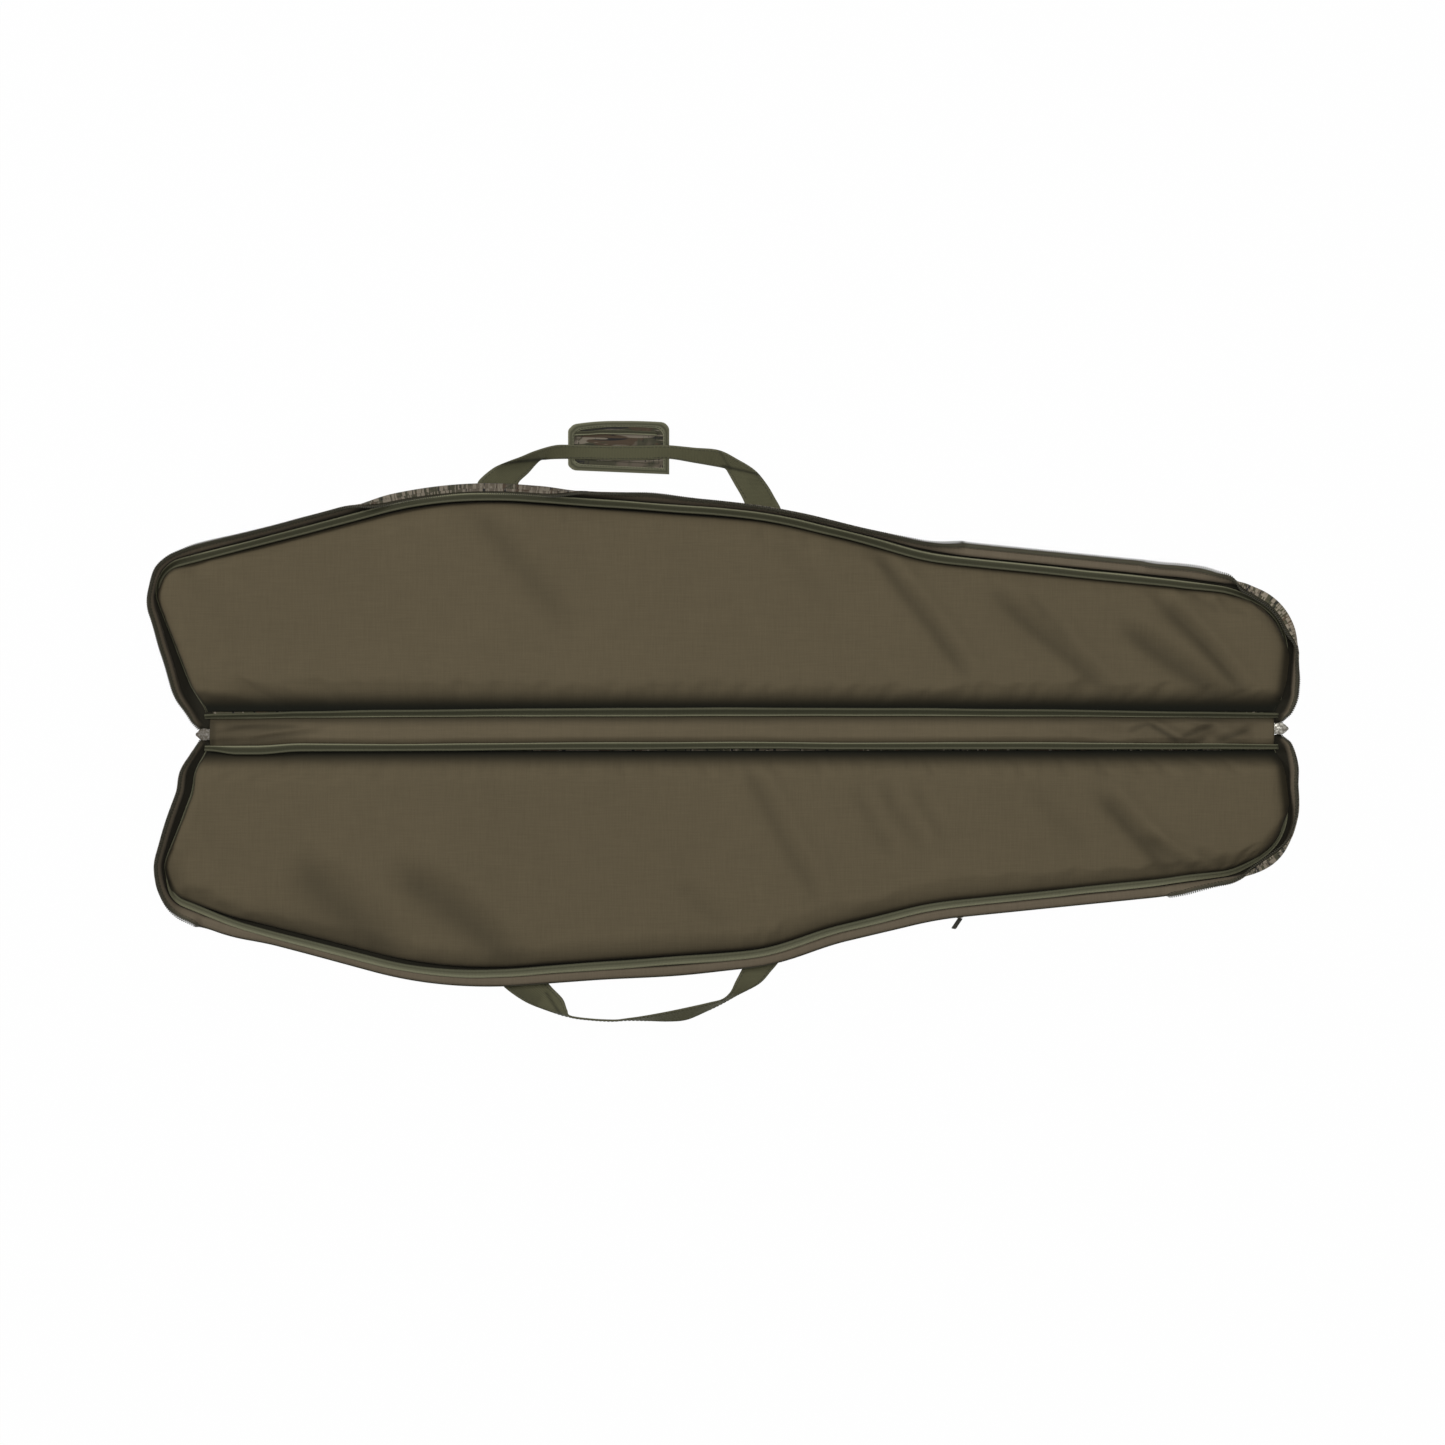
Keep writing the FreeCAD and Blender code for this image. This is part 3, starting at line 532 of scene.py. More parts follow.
def stitches(name, path, ups, pitch, body=None, width=0.6 * MM):
    """A row of sewn thread along path, a list of points with the way up at each."""
    share = 0.68
    path = [Vector(p) for p in path]
    lengths = [0.0]
    for a, b in zip(path, path[1:]):
        lengths.append(lengths[-1] + (b - a).length)
    columns = np.array([tuple(p) + tuple(u) for p, u in zip(path, ups)])

    def at(s):
        values = [float(np.interp(s, lengths, columns[:, k])) for k in range(6)]
        return Vector(values[:3]), Vector(values[3:]).normalized()

    points, faces = [], []
    for n in range(int(lengths[-1] / pitch)):
        start, up = at(n * pitch + pitch * (1 - share) / 2)
        middle, _ = at(n * pitch + pitch / 2)
        end, _ = at(n * pitch + pitch * (1 + share) / 2)
        head = (end - start).normalized()
        beside = head.cross(up).normalized() * width / 2
        low, high = up * (-width * 0.7), up * width * 0.45
        base = len(points)
        points += [start + low, end + low]
        for centre, lift in ((start, 0.35), (middle, 1.0), (end, 0.35)):
            points += [centre + beside, centre + high * lift + up * width * 0.2, centre - beside]
        a, b, c = base + 2, base + 5, base + 8
        faces += [(a, b, b + 1, a + 1), (a + 1, b + 1, b + 2, a + 2)]
        faces += [(b, c, c + 1, b + 1), (b + 1, c + 1, c + 2, b + 2)]
        faces += [(base, a, a + 1), (base, a + 1, a + 2), (base + 1, c + 1, c)]
        faces += [(base + 1, c + 2, c + 1), (base, base + 1, c, b, a)]
        faces.append((base, a + 2, b + 2, c + 2, base + 1))
    piece = mesh_piece(name, points, faces)
    outward(piece)
    dress(piece, "sewing thread", body)
    return piece


def coil(name, centres, sides, ups, pitch, wide, high, gauge):
    """A zip coil: one wire wound round a line. sides and ups are its two directions."""
    centres = np.array([tuple(c) for c in centres])
    lengths = np.concatenate([[0], np.cumsum(np.linalg.norm(np.diff(centres, axis=0), axis=1))])
    table = np.hstack([centres, [tuple(s) for s in sides], [tuple(u) for u in ups]])
    turn_points, wire_points = 8, 5
    total = int(lengths[-1] / pitch) * turn_points
    run = np.column_stack(
        [np.interp(np.linspace(0, lengths[-1], total + 1), lengths, table[:, k]) for k in range(9)]
    )
    phase = np.arange(total + 1) * 2 * math.pi / turn_points
    wound = run[:, :3] + run[:, 3:6] * (np.cos(phase) * wide / 2)[:, None]
    wound += run[:, 6:9] * (np.sin(phase) * high / 2)[:, None]
    heads = np.gradient(wound, axis=0)
    heads /= np.linalg.norm(heads, axis=1)[:, None]
    outs = wound - run[:, :3]
    outs -= heads * (outs * heads).sum(1)[:, None]
    outs /= np.maximum(1e-9, np.linalg.norm(outs, axis=1))[:, None]
    besides = np.cross(heads, outs)
    rings = []
    for i in range(total + 1):
        ring = []
        for k in range(wire_points):
            angle = 2 * math.pi * k / wire_points
            spoke = outs[i] * math.cos(angle) + besides[i] * math.sin(angle)
            ring.append(wound[i] + spoke * gauge / 2)
        rings.append(ring)
    along = list(np.linspace(0, lengths[-1], total + 1))
    return loft(name, rings, along, [gauge * k for k in range(wire_points + 1)])


# ------------------------------------------------------------------ finishes


def new_group(name, inputs, outputs):
    """An empty node group with named sockets: (name, kind, default)."""
    group = bpy.data.node_groups.new(name, "ShaderNodeTree")
    kinds = {"v": "NodeSocketVector", "f": "NodeSocketFloat", "c": "NodeSocketColor"}
    for label, kind, default in inputs:
        socket = group.interface.new_socket(label, in_out="INPUT", socket_type=kinds[kind])
        if default is not None:
            socket.default_value = default
    for label, kind in outputs:
        group.interface.new_socket(label, in_out="OUTPUT", socket_type=kinds[kind])
    return group, group.nodes.new("NodeGroupInput"), group.nodes.new("NodeGroupOutput")


def wire(tree, source, target):
    """Joins a socket to a socket, or sets a plain value on it."""
    if isinstance(source, bpy.types.NodeSocket):
        tree.links.new(source, target)
    elif source is not None:
        target.default_value = source


def set_inputs(node, **values):
    for label, value in values.items():
        node.inputs[label.replace("_", " ")].default_value = value


def maths(tree, operation, first, second=None):
    node = tree.nodes.new("ShaderNodeMath")
    node.operation = operation
    for socket, value in zip(node.inputs, (first, second)):
        wire(tree, value, socket)
    return node.outputs[0]


def times(tree, first, second):
    return maths(tree, "MULTIPLY", first, second)


def plus(tree, first, second):
    return maths(tree, "ADD", first, second)


def blend_colour(tree, share, first, second, mode="MIX"):
    node = tree.nodes.new("ShaderNodeMix")
    node.data_type = "RGBA"
    node.blend_type = mode
    for index, value in ((0, share), (6, first), (7, second)):
        wire(tree, value, node.inputs[index])
    return node.outputs[2]


def stretched(tree, vector, scale, turn=0.0):
    node = tree.nodes.new("ShaderNodeMapping")
    wire(tree, vector, node.inputs["Vector"])
    set_inputs(node, Scale=scale, Rotation=(0, 0, turn))
    return node.outputs[0]


def cloudy(tree, vector, scale, detail=2.0, rough=0.5, distortion=0.0):
    node = tree.nodes.new("ShaderNodeTexNoise")
    wire(tree, vector, node.inputs["Vector"])
    set_inputs(node, Scale=scale, Detail=detail, Roughness=rough, Distortion=distortion)
    return node.outputs["Fac"]


def ranged(tree, value, low, high, to_low=0.0, to_high=1.0):
    node = tree.nodes.new("ShaderNodeMapRange")
    for socket, number in zip(node.inputs, (value, low, high, to_low, to_high)):
        wire(tree, number, socket)
    return node.outputs[0]


def build_weave_group():
    """Plain weave with slubs: a height for bump and a streak mask for colour."""
    group, inside, outside = new_group(
        "Weave",
        [("Vector", "v", None), ("Threads per metre", "f", 1500.0), ("Slub", "f", 0.5)],
        [("Height", "f"), ("Streak", "f")],
    )
    split = group.nodes.new("ShaderNodeSeparateXYZ")
    wire(group, inside.outputs["Vector"], split.inputs[0])
    turns = times(group, inside.outputs["Threads per metre"], math.pi)
    over = maths(group, "SINE", times(group, split.outputs[0], turns))
    under = maths(group, "SINE", times(group, split.outputs[1], turns))
    cross = times(group, over, under)
    weft = cloudy(group, stretched(group, inside.outputs["Vector"], (40, 900, 40)), 1.0, 2.0)
    warp = cloudy(group, stretched(group, inside.outputs["Vector"], (900, 40, 40)), 1.0, 2.0)
    streak = times(group, plus(group, weft, warp), 0.5)
    slub = times(group, streak, inside.outputs["Slub"])
    height = plus(group, times(group, cross, 0.5), slub)
    wire(group, height, outside.inputs["Height"])
    wire(group, streak, outside.inputs["Streak"])


def build_rib_group():
    """Ribbed webbing or tape: cross ribs, lengthwise cords and a little fuzz, on cloth metres."""
    group, inside, outside = new_group(
        "Ribs",
        [("Vector", "v", None), ("Ribs per metre", "f", 900.0), ("Cords per metre", "f", 500.0)],
        [("Height", "f"), ("Shade", "f")],
    )
    split = group.nodes.new("ShaderNodeSeparateXYZ")
    wire(group, inside.outputs["Vector"], split.inputs[0])
    whole = 2 * math.pi
    rib = times(group, inside.outputs["Ribs per metre"], whole)
    cord = times(group, inside.outputs["Cords per metre"], whole)
    ribs = maths(group, "SINE", times(group, split.outputs[0], rib))
    cords = maths(group, "SINE", times(group, split.outputs[1], cord))
    fuzz = cloudy(group, stretched(group, inside.outputs["Vector"], (300, 1200, 1)), 1.0, 2.0)
    height = plus(group, times(group, ribs, 0.5), times(group, cords, 0.25))
    height = plus(group, height, times(group, fuzz, 0.6))
    wire(group, height, outside.inputs["Height"])
    wire(group, ranged(group, height, -0.5, 1.2), outside.inputs["Shade"])


def build_mottle_group():
    """Slow, cloudy changes of shade, as cloth takes from handling and dye."""
    group, inside, outside = new_group(
        "Mottle", [("Vector", "v", None), ("Strength", "f", 0.1)], [("Shade", "f")]
    )
    wide = cloudy(group, inside.outputs["Vector"], 6.0, 2.0)
    fine = cloudy(group, inside.outputs["Vector"], 55.0, 3.0)
    both = plus(group, times(group, wide, 0.6), times(group, fine, 0.4))
    centred = maths(group, "SUBTRACT", both, 0.5)
    spread = times(group, centred, times(group, inside.outputs["Strength"], 2.0))
    wire(group, plus(group, spread, 1.0), outside.inputs["Shade"])


def build_camo_group():
    """A plain reed-and-shadow pattern in five colours, of no maker's design."""
    group, inside, outside = new_group(
        "Reed pattern",
        [("Vector", "v", None), ("Straw from", "f", 0.61)]
        + [(n, "c", (0.1, 0.1, 0.1, 1)) for n in ("Ground", "Olive", "Brown", "Dark", "Straw")],
        [("Colour", "c")],
    )
    where = inside.outputs["Vector"]
    cloud = cloudy(group, stretched(group, where, (9, 14, 9)), 1.0, 3.0, 0.6, 0.8)
    colour = blend_colour(
        group, ranged(group, cloud, 0.47, 0.53), inside.outputs["Ground"], inside.outputs["Olive"]
    )
    patch = cloudy(group, stretched(group, where, (26, 12, 12), 0.4), 1.0, 3.0, 0.6, 1.2)
    colour = blend_colour(group, ranged(group, patch, 0.57, 0.60), colour, inside.outputs["Brown"])
    reeds = cloudy(group, stretched(group, where, (150, 14, 30), 0.10), 1.0, 2.0, 0.5, 0.6)
    colour = blend_colour(group, ranged(group, reeds, 0.60, 0.63), colour, inside.outputs["Dark"])
    straws = cloudy(group, stretched(group, where, (190, 17, 40), -0.14), 1.0, 2.0, 0.5, 0.5)
    above = maths(group, "SUBTRACT", straws, inside.outputs["Straw from"])
    colour = blend_colour(group, ranged(group, above, 0.0, 0.03), colour, inside.outputs["Straw"])
    twigs = cloudy(group, stretched(group, where, (60, 300, 60), 0.5), 1.0, 2.0, 0.5, 1.5)
    colour = blend_colour(group, ranged(group, twigs, 0.66, 0.68), colour, inside.outputs["Dark"])
    wire(group, colour, outside.inputs["Colour"])


def build_scuff_group():
    """Fine scratches and rubbed patches for metal."""
    group, inside, outside = new_group(
        "Scuffs", [("Vector", "v", None), ("Amount", "f", 0.5)], [("Mask", "f"), ("Height", "f")]
    )
    scratch = cloudy(group, stretched(group, inside.outputs["Vector"], (300, 4000, 900), 0.6), 1.0, 3.0)
    rub = cloudy(group, inside.outputs["Vector"], 420.0, 3.0)
    mask = times(group, ranged(group, rub, 0.45, 0.7), inside.outputs["Amount"])
    wire(group, mask, outside.inputs["Mask"])
    wire(group, scratch, outside.inputs["Height"])


def use_group(tree, name, **values):
    node = tree.nodes.new("ShaderNodeGroup")
    node.node_tree = bpy.data.node_groups[name]
    for label, value in values.items():
        wire(tree, value, node.inputs[label.replace("_", " ")])
    return node.outputs


def new_material(name, roughness, sheen=0.0, metallic=0.0, specular=0.5):
    material = bpy.data.materials.new(name)
    material.use_nodes = True
    tree = material.node_tree
    shader = tree.nodes["Principled BSDF"]
    set_inputs(shader, Roughness=roughness, Sheen_Weight=sheen, Sheen_Roughness=0.5)
    set_inputs(shader, Metallic=metallic, Specular_IOR_Level=specular)
    material.diffuse_color = (0.2, 0.2, 0.2, 1)
    coordinates = tree.nodes.new("ShaderNodeTexCoord")
    return tree, shader, coordinates.outputs["Object"], coordinates.outputs["UV"]


def bumped(tree, shader, height, distance, strength):
    bump = tree.nodes.new("ShaderNodeBump")
    set_inputs(bump, Strength=strength, Distance=distance)
    wire(tree, height, bump.inputs["Height"])
    wire(tree, bump.outputs[0], shader.inputs["Normal"])


def shaded(tree, colour, shade):
    """A colour made lighter or darker by a value round 1."""
    grey = tree.nodes.new("ShaderNodeCombineColor")
    for socket in grey.inputs:
        wire(tree, shade, socket)
    return blend_colour(tree, 1.0, colour, grey.outputs[0], "MULTIPLY")


def stored_value(tree, name):
    node = tree.nodes.new("ShaderNodeAttribute")
    node.attribute_name = name
    return node.outputs["Fac"]


def woven_material(name, colour, threads, streak, mottle, dip, on_cloth=False):
    """Plain-woven cloth: weave bump, faint slub streaks and mottling, and painted shade that blends it
    towards a dark olive in dips.
    """
    tree, shader, place, cloth = new_material(name, 0.82, sheen=0.03, specular=0.16)
    where = cloth if on_cloth else place
    weave = use_group(tree, "Weave", Vector=where, Threads_per_metre=threads, Slub=0.7)
    cloud = use_group(tree, "Mottle", Vector=place, Strength=mottle)
    shade = plus(tree, cloud["Shade"], ranged(tree, weave["Streak"], 0.3, 0.7, -streak, streak))
    # Painted shade: the stored value blends the cloth towards a dark olive where shade falls.
    dips = times(tree, stored_value(tree, "painted_shade"), dip)
    lit = blend_colour(tree, dips, colour, (0.005, 0.0052, 0.0022, 1))
    wire(tree, shaded(tree, lit, shade), shader.inputs["Base Color"])
    bumped(tree, shader, weave["Height"], 0.00025, 0.3)


def camo_material(name, colours, on_cloth, scale=1.0, turn=0.0, straw=0.61, tone=1.0, butt_tone=1.0):
    tree, shader, place, cloth = new_material(name, 0.78, sheen=0.05, specular=0.25)
    where = cloth if on_cloth else place
    pattern = use_group(
        tree,
        "Reed pattern",
        Vector=stretched(tree, where, (scale, scale, scale), turn),
        Straw_from=straw,
        Ground=(*colours.camo_ground, 1),
        Olive=(*colours.camo_olive, 1),
        Brown=(*colours.camo_brown, 1),
        Dark=(*colours.camo_dark, 1),
        Straw=(*colours.camo_straw, 1),
    )
    weave = use_group(tree, "Weave", Vector=where, Threads_per_metre=1300.0, Slub=0.5)
    cloud = use_group(tree, "Mottle", Vector=place, Strength=0.12)
    along = tree.nodes.new("ShaderNodeSeparateXYZ")
    wire(tree, place, along.inputs[0])
    # Darker towards the butt end by butt_tone.
    toned = ranged(tree, along.outputs[0], -0.1, 0.35, tone * butt_tone, tone)
    shade = times(tree, cloud["Shade"], toned)
    wire(tree, shaded(tree, pattern["Colour"], shade), shader.inputs["Base Color"])
    bumped(tree, shader, weave["Height"], 0.0003, 0.5)


def ribbed_material(name, colour, rim_colour, ribs, cords, rough=0.7):
    """Webbing, binding or zip tape: ribs and cords on the cloth, lighter at its edges, which on the binding
    is a painted highlight, partly edge wear, and darker in its folds by painted shade.
    """
    tree, shader, place, cloth = new_material(name, rough, sheen=0.02, specular=0.18)
    rib = use_group(tree, "Ribs", Vector=cloth, Ribs_per_metre=ribs, Cords_per_metre=cords)
    cloud = use_group(tree, "Mottle", Vector=place, Strength=0.14)
    # The rim value lightens the edges: on the binding a painted highlight, partly edge wear.
    base = blend_colour(tree, stored_value(tree, "rim"), (*colour, 1), (*rim_colour, 1))
    shade = times(tree, cloud["Shade"], ranged(tree, rib["Shade"], 0.0, 1.0, 0.78, 1.14))
    # Painted shade in the webbing's folds, blended towards a dark olive.
    folds = times(tree, stored_value(tree, "painted_shade"), 0.8)
    wear_and_painted_light = blend_colour(tree, folds, base, (0.012, 0.012, 0.006, 1))
    wire(tree, shaded(tree, wear_and_painted_light, shade), shader.inputs["Base Color"])
    bumped(tree, shader, rib["Height"], 0.0003, 0.6)


def metal_material(name, colour, wear_and_painted_light, metallic, rough):
    tree, shader, place, _ = new_material(name, rough, metallic=metallic)
    scuff = use_group(tree, "Scuffs", Vector=place, Amount=0.55)
    wire(tree, blend_colour(tree, scuff["Mask"], (*colour, 1), (*wear_and_painted_light, 1)), shader.inputs["Base Color"])
    wire(tree, ranged(tree, scuff["Mask"], 0.0, 0.5, rough, rough * 0.75), shader.inputs["Roughness"])
    bumped(tree, shader, scuff["Height"], 0.0001, 0.3)


def plastic_material(name, colour, rough):
    tree, shader, place, _ = new_material(name, rough, specular=0.4)
    cloud = use_group(tree, "Mottle", Vector=place, Strength=0.25)
    wire(tree, shaded(tree, (*colour, 1), cloud["Shade"]), shader.inputs["Base Color"])
    wire(tree, ranged(tree, cloud["Shade"], 0.8, 1.2, rough + 0.1, rough - 0.1), shader.inputs["Roughness"])
    bumped(tree, shader, cloudy(tree, place, 2500.0, 2.0), 0.0001, 0.3)


def pile_material(name, colour, scale, depth):
    """Hook or loop pile."""
    tree, shader, place, _ = new_material(name, 0.9, sheen=0.2, specular=0.2)
    tufts = tree.nodes.new("ShaderNodeTexVoronoi")
    tufts.inputs["Scale"].default_value = scale
    wire(tree, place, tufts.inputs["Vector"])
    height = maths(tree, "SUBTRACT", 1.0, tufts.outputs["Distance"])
    shade = ranged(tree, height, 0.2, 1.0, 0.55, 1.1)
    wire(tree, shaded(tree, (*colour, 1), shade), shader.inputs["Base Color"])
    bumped(tree, shader, height, depth, 0.8)


def build_materials(colours):
    build_weave_group()
    build_rib_group()
    build_mottle_group()
    build_camo_group()
    build_scuff_group()
    woven_material("taupe lining", (*colours.lining, 1), 1400.0, 0.08, 0.10, 1.0)
    woven_material("gusset lining", (*colours.gusset_lining, 1), 1400.0, 0.10, 0.14, 0.95, on_cloth=True)
    woven_material("spine lining", (*colours.spine_lining, 1), 1400.0, 0.08, 0.12, 0.86)
    camo_material("reed cloth", colours, False)
    camo_material("reed gusset cloth", colours, True, 1.9, 0.0, 0.51, 0.95, 0.60)
    camo_material("reed wrap cloth", colours, False, 1.3, math.pi / 2, 0.585, 0.56)
    ribbed_material("olive binding", colours.binding, colours.binding_edge_highlight, 700.0, 260.0)
    ribbed_material("olive webbing", colours.webbing, colours.webbing_edge, 620.0, 420.0)
    ribbed_material("zip tape cloth", colours.zip_tape, colours.zip_tape, 1300.0, 700.0)
    plastic_material("zip coil nylon", colours.zip_coil, 0.45)
    metal_material("painted slider", colours.painted, (0.35, 0.33, 0.30), 0.15, 0.42)
    metal_material("bare slider", colours.bare, (0.72, 0.70, 0.62), 0.55, 0.38)
    pile_material("loop pile", colours.pile, 700.0, 0.0006)
    pile_material("hook pile", colours.pile, 1100.0, 0.0008)
    ribbed_material("sewing thread", colours.thread, colours.thread, 1500.0, 900.0, 0.6)
    ribbed_material("pull cord", colours.pull_cord, colours.pull_cord, 1100.0, 500.0)


# ------------------------------------------------------------------ pads


# Where a pad rises out of the dip beside the spine, and where it reaches its height.
PAD_VALLEY = {UPPER: (0.0255, 0.0455), LOWER: (0.0225, 0.0415)}
PAD_SEAM_LEVEL = 3.4 * MM
PAD_SEAM_INSET = 1.0 * MM
# The shares of a seam's and of a gusset's length at which its two outer corners lie.
PAD_CORNERS = (0.1075, 0.918)
COVER_CORNERS = (0.109, 0.908)
PAD_COLUMNS, PAD_ROWS = 230, 46
PUFF_FRAMES = 20


def patch(edge, first, last, xi, eta):
    """A point inside a half: xi along the case, eta from the spine to the outer edge.

    edge(share) is the outline, whose corners lie at the shares first and last.
    """

    def bottom(t):
        return edge(0.0).lerp(edge(1.0), t)

    def top(t):
        return edge(first + (last - first) * t)

    left, right = edge(first * eta), edge(1 - (1 - last) * eta)
    straight = bottom(xi) * (1 - eta) + top(xi) * eta
    sideways = left * (1 - xi) + right * xi
    corners = (bottom(0) * (1 - xi) + bottom(1) * xi) * (1 - eta)
    corners += (top(0) * (1 - xi) + top(1) * xi) * eta
    return straight + sideways - corners


def pad_place(side, xi, eta):
    return patch(lambda share: Vector(SEAMS[side].at(share, -PAD_SEAM_INSET)), *PAD_CORNERS, xi, eta)


def rounded_share(distance, radius):
    t = min(1.0, max(0.0, distance / radius))
    return math.sqrt(1 - (1 - t) ** 2)


def pad_top(side, x, y, crest):
    """The height of the pad's top before it is puffed."""
    end = max(smoothstep(0.52, 0.58, x), smoothstep(-0.50, -0.56, x))
    seam_share = rounded_share(SEAMS[side].near(x, y)[0], 0.018 - 0.006 * end)
    valley = smoothstep(*PAD_VALLEY[side], abs(y))
    return PAD_SEAM_LEVEL + (crest - PAD_SEAM_LEVEL) * seam_share * valley


def pad_painted_shade(side, x, y):
    """How much painted shade a spot of the pad gets, 0 to 1, from how deep it lies in the dip beside the
    spine or its own seam, and from its creases.
    """
    low, high = PAD_VALLEY[side]
    beside_spine = 1 - smoothstep(low - 0.001, high + 0.001, abs(y))
    gap, share = SEAMS[side].near(x, y)
    ends = max(smoothstep(0.90, 0.93, share), smoothstep(0.11, 0.085, share))
    free_edge = -keyed(BOUND_SEAM[side], share, 3) * MM * (1 - ends)
    end = smoothstep(0.50, 0.58, x) * smoothstep(0.90, 0.93, share)
    beside_seam = 1 - smoothstep(0.0, 0.0055 + 0.007 * end, gap - free_edge)
    beside_seam += 0.22 * end * (1 - smoothstep(0.004, 0.024, gap))
    bottom = smoothstep(0.10, 0.16, -y) * (1 - smoothstep(0.006, 0.032, gap))
    crease = crease_lift(PAD_CREASES[side], x, y, 5)
    return 1 - (1 - beside_spine) * (1 - 0.75 * min(1.0, beside_seam)) * (1 - 0.28 * bottom) * (1 - crease)


def crease_lift(creases, x, y, column=4):
    """Soft creases at x, y: the change of height in metres, or with column 5 the painted shade."""
    total = 0.0
    for crease in creases:
        start = Vector(crease[:2]) * MM
        run = Vector(crease[2:4]) * MM - start
        local = Vector((x, y)) - start
        t = local.dot(run) / run.length_squared
        fade = smoothstep(-0.10, 0.20, t) * smoothstep(1.08, 0.76, t)
        if fade <= 0:
            continue
        beside = (run.x * local.y - run.y * local.x) / run.length / (crease[4] * MM)
        beside += 0.4 * ripple(x * 14, y * 14, 0, crease[4])
        if column == 5:
            total += crease[6] * fade * math.exp(-((beside + 0.35) ** 2))
        else:
            ridge = 0.75 * math.exp(-((beside - 1.6) ** 2))
            total += crease[5] * MM * fade * (math.exp(-beside * beside) - ridge)
    if column == 4:
        total += 0.0009 * ripple(x * 7, y * 9, 0, 6.0) + 0.0003 * ripple(x * 30, y * 36, 0, 8.0)
    return min(0.6, total)


def puff(piece, held, pressure):
    """Inflates the piece as cloth held at some points, and limits how far a point moves."""
    most, growth = 5 * MM, 0.012
    before = np.array([v.co for v in piece.data.vertices])
    group = piece.vertex_groups.new(name="held")
    group.add(held, 1.0, "REPLACE")
    cloth = piece.modifiers.new("cloth", "CLOTH")
    settings = cloth.settings
    settings.quality = 5
    settings.mass = 0.3
    settings.tension_stiffness = settings.compression_stiffness = 12
    settings.shear_stiffness = 6
    settings.bending_stiffness = 0.4
    settings.vertex_group_mass = "held"
    settings.use_pressure = True
    settings.uniform_pressure_force = pressure
    settings.shrink_min = -growth
    settings.effector_weights.gravity = 0
    cloth.collision_settings.use_collision = False
    cloth.point_cache.frame_start, cloth.point_cache.frame_end = 1, PUFF_FRAMES
    scene = bpy.context.scene
    for number in range(1, PUFF_FRAMES + 1):
        scene.frame_set(number)
    apply_modifiers(piece)
    scene.frame_set(1)
    after = np.array([v.co for v in piece.data.vertices])
    moved = after - before
    far = np.maximum(np.linalg.norm(moved, axis=1), 1e-9)
    moved *= np.minimum(1.0, most / far)[:, None]
    piece.data.vertices.foreach_set("co", (before + moved).ravel())
    piece.vertex_groups.clear()


def build_pad(side, sizes):
    """One half's quilted foam pad: a closed, crowned cushion that dips into its seams."""
    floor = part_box(side + "_lining")[0].z + 0.0001
    crest = sizes.pad_crest
    start_crest = crest - 0.0012

    def top(u, v):
        spot = pad_place(side, u, v)
        return Vector((spot.x, spot.y, pad_top(side, spot.x, spot.y, start_crest))), spot.x, spot.y

    def under(u, v):
        spot = pad_place(side, u, v)
        edge = u in (0.0, 1.0) or v in (0.0, 1.0)
        level = pad_top(side, spot.x, spot.y, start_crest) if edge else floor
        return Vector((spot.x, spot.y, level)), spot.x, spot.y

    piece = grid_piece(side + "_pad", PAD_COLUMNS, PAD_ROWS, top)
    base = grid_piece(side + "_pad_base", PAD_COLUMNS, PAD_ROWS, under)
    pick(piece)
    base.select_set(True)
    bpy.ops.object.join()
    bpy.ops.object.mode_set(mode="EDIT")
    bpy.ops.mesh.select_all(action="SELECT")
    bpy.ops.mesh.remove_doubles(threshold=0.00002)
    bpy.ops.mesh.normals_make_consistent(inside=False)
    bpy.ops.object.mode_set(mode="OBJECT")
    held = [v.index for v in piece.data.vertices if v.co.z < 0.0052]
    puff(piece, held, sizes.pad_pressure)
    for vertex in piece.data.vertices:
        co = vertex.co
        if co.z <= floor + 0.0004:
            continue
        limit = pad_top(side, co.x, co.y, crest + 0.0008)
        share = smoothstep(0.0045, 0.0145, co.z)
        co.z = min(co.z, limit) + crease_lift(PAD_CREASES[side], co.x, co.y) * share
    add_modifier(piece, "SUBSURF", levels=1, render_levels=1)
    apply_modifiers(piece)
    # Painted shade in the pad's dips beside the spine and its seams, and in its creases.
    shade_dips(piece, lambda co: pad_painted_shade(side, co.x, co.y))
    dress(piece, "taupe lining", side + "_half", (side + "_lining", side + "_foam"))


# ------------------------------------------------------------------ spine


# Soft folds across the spine's lining near its ends, with their painted shade, as for the pads.
SPINE_FOLDS = (
    (428, 0, 452, 10, 2.6, -1.0, 0.30), (450, 10, 486, -13, 3.2, -2.0, 0.50),
    (484, -6, 522, 7, 2.6, -1.6, 0.36), (520, -12, 562, 5, 3.2, -1.8, 0.42),
    (492, -13, 514, -7, 2.6, -0.8, 0.26), (-534, -10, -478, -19, 5.0, -1.4, 0.32),
    (-526, 5, -440, 7, 3.4, -1.2, 0.30), (-506, -12, -420, 2, 2.6, -1.4, 0.26),
)


